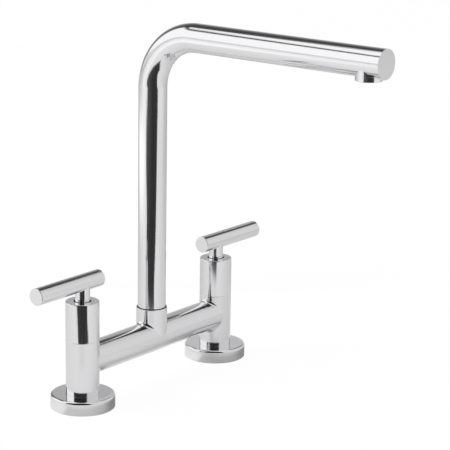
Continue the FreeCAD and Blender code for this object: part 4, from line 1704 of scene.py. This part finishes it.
@dataclass(frozen=True)
class Tail:
    """The threaded inlet tails and their backnuts, below the deck."""

    half: float = HALF
    foot: float = -60.0
    lead: float = 0.8
    seat: float = 3.5
    top: float = 18.0
    major_r: float = 10.48
    core_r: float = 9.6
    foot_r: float = 9.68
    spigot_r: float = 8.5
    bore_r: float = 5.8
    around: int = 96
    pitch: float = 1.814
    ridge_sink: float = 0.05
    ridge_foot: float = 0.86
    ridge_crest: float = 0.16
    ridge_around: int = 40
    threads: tuple[tuple[float, float], ...] = ((-59.2, -48.2), (-45.6, 3.0))  # below and above the relief
    nut_foot: float = -42.5
    nut_top: float = -34.5
    nut_flats: float = 27.0
    nut_chamfer: float = 1.0
    nut_fit: float = 0.1

    def core(self) -> Outline:
        """The tail without its thread.

        Returns:
            Its outline.
        """
        return closed(
            (self.bore_r, self.foot, 0.3),
            (self.foot_r, self.foot, 0.2),
            (self.core_r, self.foot + self.lead),
            (self.core_r, self.seat),
            (self.spigot_r, self.seat),
            (self.spigot_r, self.top, 0.3),
            (self.bore_r, self.top, 0.3),
        )

    def ridge(self, growth: Growth, part: int, x: float) -> Socket:
        """One run of thread: a small ridge swept along a helix.

        Args:
            growth: the tree.
            part: which run of the thread it is.
            x: where the tail stands.

        Returns:
            The mesh.
        """
        graph, inputs = growth.graph, growth.inputs
        length, pitch = inputs[f"Length {part}"], inputs["Pitch"]
        core, crest = inputs["Core Radius"], inputs["Crest Radius"]
        middle_r = graph.math("MULTIPLY", graph.math("ADD", core, crest), 0.5)
        helix = graph.node(
            "GeometryNodeCurveSpiral",
            {
                "Resolution": inputs["Around"],
                "Rotations": graph.math("DIVIDE", length, pitch),
                "Start Radius": middle_r,
                "End Radius": middle_r,
                "Height": length,
            },
        )
        level = graph.node("GeometryNodeSetCurveNormal", {"Curve": helix.outputs[0]}, mode="Z_UP")
        section = graph.node(
            "GeometryNodeCurvePrimitiveQuadrilateral",
            {
                "Height": graph.math("SUBTRACT", crest, core),
                "Bottom Width": graph.math("MULTIPLY", pitch, self.ridge_foot),
                "Top Width": graph.math("MULTIPLY", pitch, self.ridge_crest),
                "Offset": 0.0,
            },
            mode="TRAPEZOID",
        )
        sweep = {"Curve": level.outputs[0], "Profile Curve": section.outputs[0], "Fill Caps": True}
        swept = graph.node("GeometryNodeCurveToMesh", sweep)
        place = growth.vector(x=x * MM, z=inputs[f"Start {part}"])
        moved = graph.node("GeometryNodeTransform", {"Geometry": swept.outputs[0], "Translation": place})
        return moved.outputs[0]

    def grow_threads(self) -> bpy.types.Object:
        """Grow the threads of both tails as one mesh.

        Returns:
            The threads.
        """
        sizes: dict[str, float | int] = {
            "Core Radius": (self.core_r - self.ridge_sink) * MM,
            "Crest Radius": self.major_r * MM,
            "Pitch": self.pitch * MM,
            "Around": self.ridge_around,
        }
        for i, (low, high) in enumerate(self.threads):
            sizes[f"Start {i}"] = low * MM
            sizes[f"Length {i}"] = (high - low) * MM
        growth = Growth("pipe_threads", sizes)
        joined = growth.graph.node("GeometryNodeJoinGeometry")
        for side in Side:
            for i in range(len(self.threads)):
                growth.link(self.ridge(growth, i, side.value * self.half), joined.inputs[0])
        return growth.harvest(joined.outputs[0], BRASS, "tail_threads")

    def nut(self, x: float) -> Shell:
        """A backnut with its lower corners chamfered.

        Args:
            x: where its tail stands.

        Returns:
            The nut's shell.
        """
        angles = np.linspace(0, TURN, self.around + 1)
        ring = level_ring(angles)
        rim = hexagon_rim(self.nut_flats, angles)
        corner = self.nut_flats / math.sqrt(3)
        begin = np.minimum(rim, corner - self.nut_chamfer)
        edge = self.nut_foot + np.maximum(rim - begin, 0)
        bore = 0 * rim + self.core_r + self.nut_fit
        low, high = self.nut_foot, self.nut_top
        places = ((bore, low), (bore, high), (rim, high), (rim, edge), (begin, low))
        bore_low, bore_high, rim_high, rim_low, foot = (
            np.stack([x + radius * ring[:, 0], radius * ring[:, 1], 0 * radius + height], -1)
            for radius, height in places
        )
        up = 0 * ring + np.array(UP)
        strips = [
            (bore_high, rim_high, up),
            (bore_low, foot, -up),
            (foot, rim_low, (ring - up) / math.sqrt(2)),
            (bore_low, bore_high, -ring),
        ]
        for part, middle in hexagon_sides(self.around // 6):
            strips.append((rim_low[part], rim_high[part], 0 * ring[part] + middle))
        shell = Shell()
        for first, last, normals in strips:
            shell.grid(np.stack([first, last]), np.stack([normals, normals]))
        return shell

    def build(self) -> None:
        """Make the tails, their threads and their backnuts."""
        for side in Side:
            x = side.value * self.half
            tail = Shell()
            tail.turn(self.core(), upright(x), self.around)
            adopt(tail.build(f"{side.word}_tail_core"), Body.MIXER, BRASS, [f"{side.word}_inlet_tail"])
            nut = self.nut(x).build(f"{side.word}_hex_backnut")
            adopt(nut, Body.MIXER, BRASS, [f"{side.word}_backnut"])
        adopt(self.grow_threads(), Body.MIXER, BRASS, [])


# ---------------------------------------------------------------- studio and camera


@dataclass(frozen=True)
class View:
    """The photograph's camera: where it stands and how it is turned, in degrees."""

    place: tuple[float, float, float] = (-1215.69, -1024.19, 557.15)
    heading: float = 52.163
    pitch: float = -14.661
    roll: float = 0.894
    focal_px: float = 1894.39
    width_px: float = 450.0
    sensor_mm: float = 36.0
    clip: tuple[float, float] = (0.05, 100.0)

    def build(self) -> None:
        """Make the camera and look through it."""
        heading, pitch, roll = (math.radians(a) for a in (self.heading, self.pitch, self.roll))
        flat = math.cos(pitch)
        ahead = Vector((math.sin(heading) * flat, math.cos(heading) * flat, math.sin(pitch)))
        level = Vector((math.cos(heading), -math.sin(heading), 0.0))
        above = level.cross(ahead)
        right = level * math.cos(roll) + above * math.sin(roll)
        up = above * math.cos(roll) - level * math.sin(roll)
        lens = bpy.data.cameras.new("view")
        lens.sensor_width = self.sensor_mm
        lens.lens = self.focal_px / self.width_px * self.sensor_mm
        lens.clip_start, lens.clip_end = self.clip
        camera = linked("view", lens)
        turn = Matrix((right, up, -ahead)).transposed().to_4x4()
        camera.matrix_world = Matrix.Translation(Vector(self.place) * MM) @ turn
        bpy.context.scene.camera = camera


@dataclass(frozen=True)
class Studio:
    """A pale table inside a tent of light that is open towards the camera and dim high at the back. Its paper
    and the card behind it carry painted light and shade that the metal mirrors.

    The table's own directions are used throughout: near is towards the camera, across is to the
    right of the picture. Bearings are in degrees from near, to the right. Lengths are in metres.
    """

    heading: float = 52.163
    table_size: float = 12.0
    table_drop: float = 0.0002
    gap_span: tuple[float, float] = (0.0, 2.0)
    gap_blur: float = 0.006
    side_blur: float = 0.007
    near_edge: float = 0.212
    # painted shade in the paper's opening: its level on the right and on the left, and where one fades into
    # the other
    gap_painted_shade: float = 0.034
    gap_left_painted_shade: float = 0.065
    gap_fade: tuple[float, float] = (-0.5, 0.0)
    left_edge: Stops = (
        (0.2, 0.09),
        (0.31, 0.19),
        (0.5, 0.48),
        (0.55, 0.67),
        (0.7, 0.9),
        (0.95, 0.93),
        (1.09, 0.86),
        (1.5, 1.4),
    )
    right_edge: Stops = (
        (0.2, 0.085),
        (0.3, 0.105),
        (0.36, 0.175),
        (0.52, 0.35),
        (0.86, 0.69),
        (0.92, 0.88),
        (1.42, 1.26),
        (2.0, 1.6),
    )
    paper_span: tuple[float, float] = (-1.0, 1.0)
    # painted light on the paper: dim far back, paler towards the camera
    painted_light_by_near: Stops = ((-1.0, 0.56), (-0.5, 0.61), (-0.2, 0.68), (0.0, 0.77), (0.25, 0.84), (1.0, 0.87))
    far_right_painted_light: tuple[float, float, float] = (0.8, 1.6, 0.14)  # from, to, how much paler: painted light at the far right
    halves: tuple[float, float] = (0.071, -0.055)  # the near flange's place: near, across
    foot_reach: tuple[float, float] = (0.042, 0.057)  # where the shade round a flange fades
    foot_shade: Stops = (
        (-90.0, 0.86),
        (-58.0, 0.92),
        (-42.0, 0.88),
        (-32.0, 0.64),
        (28.0, 0.6),
        (57.0, 0.53),
        (80.0, 0.4),
        (120.0, 0.38),
    )
    # a painted pool of light on the paper at the far left: its level, then its place, reach and stretch
    lit: float = 1.09
    lit_place: tuple[float, float] = (-0.155, -0.88)  # near, across
    lit_reach: tuple[float, float] = (0.15, 0.46)
    lit_stretch: float = 0.55
    white_share: float = 0.97  # how much the camera sees as plain white
    mirror_share: float = 0.45  # how much the metal sees as painted, whatever light falls there
    card_place: float = -0.28
    card_half: float = 0.13
    card_height: float = 0.26
    # painted light on the card: paler at its foot, dimmer towards its top
    card_painted_light_by_height: Stops = ((0.0, 0.82), (0.09, 0.75), (0.14, 0.6), (0.2, 0.62), (0.26, 0.5))
    lamp_bearing: float = -80.0
    lamp_height: float = 50.0
    lamp_distance: float = 5.0
    lamp_size: float = 2.6
    lamp_level: float = 0.5
    tent_span: tuple[float, float] = (-10.0, 90.0)
    tent_right: Stops = ((-10.0, 0.74), (30.0, 0.74), (48.0, 0.62), (60.0, 0.8))
    tent_left: Stops = (
        (-3.0, 0.74),
        (4.0, 0.74),
        (8.0, 1.08),
        (43.0, 1.08),
        (45.0, 0.06),
        (49.0, 0.06),
        (51.0, 1.08),
    )
    tent_back: Stops = ((-5.0, 0.88), (4.0, 0.7), (20.0, 0.33), (40.0, 0.06), (54.0, 0.05), (58.0, 1.04))
    tent_corner: Stops = ((-6.0, 0.3), (10.0, 0.2), (34.0, 0.11), (44.0, 0.05), (53.0, 0.06), (57.0, 1.04))
    tent_front: Stops = ((-10.0, 0.02), (72.0, 0.02), (82.0, 0.6), (90.0, 0.7))
    front_starts: tuple[float, float] = (-62.0, -56.0)
    right_starts: tuple[float, float] = (30.0, 38.0)
    back_starts: tuple[float, float] = (132.0, 145.0)
    corner_ends: tuple[float, float] = (-138.0, -128.0)
    back_ends: tuple[float, float] = (-172.0, -152.0)

    def way(self, bearing: float) -> tuple[float, float, float]:
        """The level direction at a bearing."""
        angle = math.radians(self.heading + 180 - bearing)
        return (math.sin(angle), math.cos(angle), 0.0)

    def surface(self, name: str) -> tuple[bpy.types.Material, Graph]:
        """Start a studio surface.

        Args:
            name: its material's name.

        Returns:
            The new material and its empty tree.
        """
        made = bpy.data.materials.new(name)
        made.use_nodes = True
        return made, Graph(made.node_tree)

    def gap(self, graph: Graph, near: Socket, across: Socket) -> Socket:
        """Where the paper is painted dark in front of the tap: painted shade that the metal mirrors as the
        open, unlit front.

        Args:
            graph: the table's tree.
            near: distance towards the camera, in metres.
            across: distance to the right.

        Returns:
            One inside the opening, nothing outside it.
        """
        left = graph.math("ADD", across, graph.curve(near, self.gap_span, self.left_edge))
        right = graph.math("SUBTRACT", across, graph.curve(near, self.gap_span, self.right_edge))
        beyond = graph.math("SUBTRACT", near, self.near_edge)
        past_left = graph.ease(left, -self.side_blur, self.side_blur)
        short_of_right = graph.ease(right, -self.side_blur, self.side_blur, 1.0, 0.0)
        sides = graph.math("MULTIPLY", past_left, short_of_right)
        return graph.math("MULTIPLY", sides, graph.ease(beyond, -self.gap_blur, self.gap_blur))

    def apart(self, graph: Graph, first: Socket, second: Socket) -> Socket:
        """How far off a place is, from its distances along two directions."""
        squares = graph.math("ADD", graph.math("POWER", first, 2.0), graph.math("POWER", second, 2.0))
        return graph.math("SQRT", squares)

    def paper(self, graph: Graph, near: Socket, across: Socket) -> Socket:
        """How pale the paper is painted, all of it painted light and shade: paler towards the camera and at
        the far right, a painted pool of light at the far left, and painted shadow round the flanges.

        Args:
            graph: the table's tree.
            near: distance towards the camera, in metres.
            across: distance to the right.

        Returns:
            The paper's colour as one number.
        """
        plain = graph.curve(near, self.paper_span, self.painted_light_by_near)
        aside = graph.math("SUBTRACT", across, self.lit_place[1])
        along = graph.math("MULTIPLY", graph.math("SUBTRACT", near, self.lit_place[0]), self.lit_stretch)
        away = self.apart(graph, aside, along)
        start, end, gain = self.far_right_painted_light
        plain = graph.math("ADD", plain, graph.ease(across, start, end, 0.0, gain))
        for side in (1, -1):
            plain = self.foot(graph, plain, near, across, side)
        return graph.mix(graph.ease(away, *self.lit_reach), self.lit, plain)

    def foot(self, graph: Graph, plain: Socket, near: Socket, across: Socket, side: int) -> Socket:
        """Shade the paper close round a flange: bright on its left, dim on its right.

        Args:
            graph: the table's tree.
            plain: the paper's colour without it.
            near: distance towards the camera, in metres.
            across: distance to the right.
            side: 1 for the near flange, -1 for the far one.

        Returns:
            The paper's colour with it.
        """
        along = graph.math("SUBTRACT", near, side * self.halves[0])
        aside = graph.math("SUBTRACT", across, side * self.halves[1])
        away = self.apart(graph, along, aside)
        bearing = graph.math("MULTIPLY", graph.math("ARCTAN2", aside, along), DEGREES)
        shade = graph.curve(bearing, (-180.0, 180.0), self.foot_shade)
        return graph.mix(graph.ease(away, *self.foot_reach), shade, plain)

    def glow(self, graph: Graph, shade: Any) -> None:
        """End a studio surface: matt, white to the camera, and as pale in the metal as it is painted.

        Args:
            graph: the surface's tree.
            shade: how pale it is painted.
        """
        paths = graph.node("ShaderNodeLightPath").outputs
        camera = paths["Is Camera Ray"]
        mirrored = graph.math("MAXIMUM", paths["Is Glossy Ray"], paths["Is Transmission Ray"])
        in_metal = graph.math("MULTIPLY", mirrored, self.mirror_share)
        share = graph.math("MULTIPLY_ADD", camera, self.white_share, in_metal)
        colour = graph.mix(camera, shade, 1.0)
        matt = graph.node("ShaderNodeBsdfDiffuse", {"Color": colour})
        glow = graph.node("ShaderNodeEmission", {"Color": colour, "Strength": 1.0})
        both = graph.node("ShaderNodeMixShader", {0: share, 1: matt.outputs[0], 2: glow.outputs[0]})
        graph.node("ShaderNodeOutputMaterial", {"Surface": both.outputs[0]})

    def table_surface(self) -> bpy.types.Material:
        """Pale paper with its painted light and shade, and the painted dark of its opening.

        Returns:
            The material.
        """
        made, graph = self.surface("table_top")
        place = graph.node("ShaderNodeTexCoord").outputs["Object"]
        near = graph.dot(place, self.way(0.0))
        across = graph.dot(place, self.way(90.0))
        # painted shade in the opening, a little less dark on the left
        dark = graph.ease(across, *self.gap_fade, self.gap_left_painted_shade, self.gap_painted_shade)
        shade = graph.mix(self.gap(graph, near, across), self.paper(graph, near, across), dark)
        self.glow(graph, shade)
        return made

    def sheet(
        self, name: str, corners: Sequence[Sequence[float]], surface: bpy.types.Material
    ) -> bpy.types.Object:
        """Add a flat four-cornered piece of the studio.

        Args:
            name: its name.
            corners: its corners, in metres.
            surface: its material.

        Returns:
            The piece.
        """
        mesh = bpy.data.meshes.new(name)
        mesh.from_pydata([tuple(c) for c in corners], [], [(0, 1, 2, 3)])
        mesh.materials.append(surface)
        made = linked(name, mesh)
        return made

    def table(self) -> None:
        """Make the table top just under the flanges."""
        half, z = self.table_size / 2, -self.table_drop
        corners = [(-half, -half, z), (half, -half, z), (half, half, z), (-half, half, z)]
        self.sheet("table", corners, self.table_surface())

    def card(self) -> None:
        """Stand a low pale card behind the tap, out of the camera's sight, with painted light that makes it
        paler at its foot than at its top.
        """
        surface, graph = self.surface("card_paper")
        height = graph.dot(graph.node("ShaderNodeTexCoord").outputs["Object"], UP)
        self.glow(graph, graph.curve(height, (0.0, self.card_height), self.card_painted_light_by_height))
        near, across = Vector(self.way(0.0)), Vector(self.way(90.0))
        foot = [near * self.card_place + across * side for side in (-self.card_half, self.card_half)]
        top = [p + Vector((0, 0, self.card_height)) for p in reversed(foot)]
        self.sheet("back_card", foot + top, surface).visible_camera = False

    def lamp(self) -> None:
        """Hang a soft lamp at the upper left that lights the paper but isn't mirrored in the chrome."""
        height, level = math.radians(self.lamp_height), self.way(self.lamp_bearing)
        away = Vector((level[0] * math.cos(height), level[1] * math.cos(height), math.sin(height)))
        light = bpy.data.lights.new("soft_lamp", "AREA")
        light.shape = "DISK"
        light.size = self.lamp_size
        light.energy = self.lamp_level * (math.pi * self.lamp_distance) ** 2 / math.sin(height)
        made = linked("soft_lamp", light)
        made.location = away * self.lamp_distance
        made.rotation_euler = away.to_track_quat("Z", "Y").to_euler()
        made.visible_glossy = False
        made.visible_camera = False

    def tent(self) -> None:
        """Light from all round, by direction: side panels, back wall, overhead panel, open front."""
        world = bpy.data.worlds.new("tent")
        world.use_nodes = True
        graph = Graph(world.node_tree)
        way = graph.node("ShaderNodeTexCoord").outputs["Generated"]
        near = graph.dot(way, self.way(0.0))
        across = graph.dot(way, self.way(90.0))
        high = graph.dot(way, UP)
        height = graph.math("MULTIPLY", graph.math("ARCSINE", high), DEGREES)
        bearing = graph.math("MULTIPLY", graph.math("ARCTAN2", across, near), DEGREES)

        panels = (self.tent_right, self.tent_left, self.tent_back, self.tent_corner, self.tent_front)
        right, left, back, corner, front = (graph.curve(height, self.tent_span, stops) for stops in panels)
        level = graph.mix(graph.ease(bearing, *self.front_starts), left, front)
        level = graph.mix(graph.ease(bearing, *self.right_starts), level, right)
        level = graph.mix(graph.ease(bearing, *self.back_starts), level, back)
        level = graph.mix(graph.ease(bearing, *self.corner_ends, 1.0, 0.0), level, corner)
        level = graph.mix(graph.ease(bearing, *self.back_ends, 1.0, 0.0), level, back)

        paths = graph.node("ShaderNodeLightPath").outputs
        seen = graph.mix(paths["Is Camera Ray"], level, 1.0)
        light = graph.node("ShaderNodeBackground", {"Color": (1, 1, 1, 1), "Strength": seen})
        graph.node("ShaderNodeOutputWorld", {"Surface": light.outputs[0]})
        bpy.context.scene.world = world

    def build(self) -> None:
        """Make the studio."""
        self.table()
        self.card()
        self.lamp()
        self.tent()
        bpy.context.scene.view_settings.view_transform = "Standard"


@dataclass(frozen=True)
class Tap:
    """The whole tap."""

    frame: dict[str, Any]

    def dress_hidden(self) -> None:
        """Give the nodes that keep their own mesh the finish that the record names for them."""
        for part in self.frame["record"]["subparts"]:
            node = self.frame["nodes"][part["node"]]
            node.data.materials.clear()
            node.data.materials.append(FINISHES[part["material_slot"]].material())

    def build(self) -> None:
        """Make every piece in order."""
        self.dress_hidden()
        Casting().build()
        for side in Side:
            Pillar(side).build()
            Handle(side).build()
        Spout().build()
        Outlet().build()
        Tail().build()


def main() -> None:
    """Load the frame, dress the tap, set the studio and place the camera."""
    logging.basicConfig(level=logging.INFO, format="%(name)s %(message)s")
    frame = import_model()
    Tap(frame).build()
    Studio().build()
    View().build()


if __name__ == "__main__":
    main()
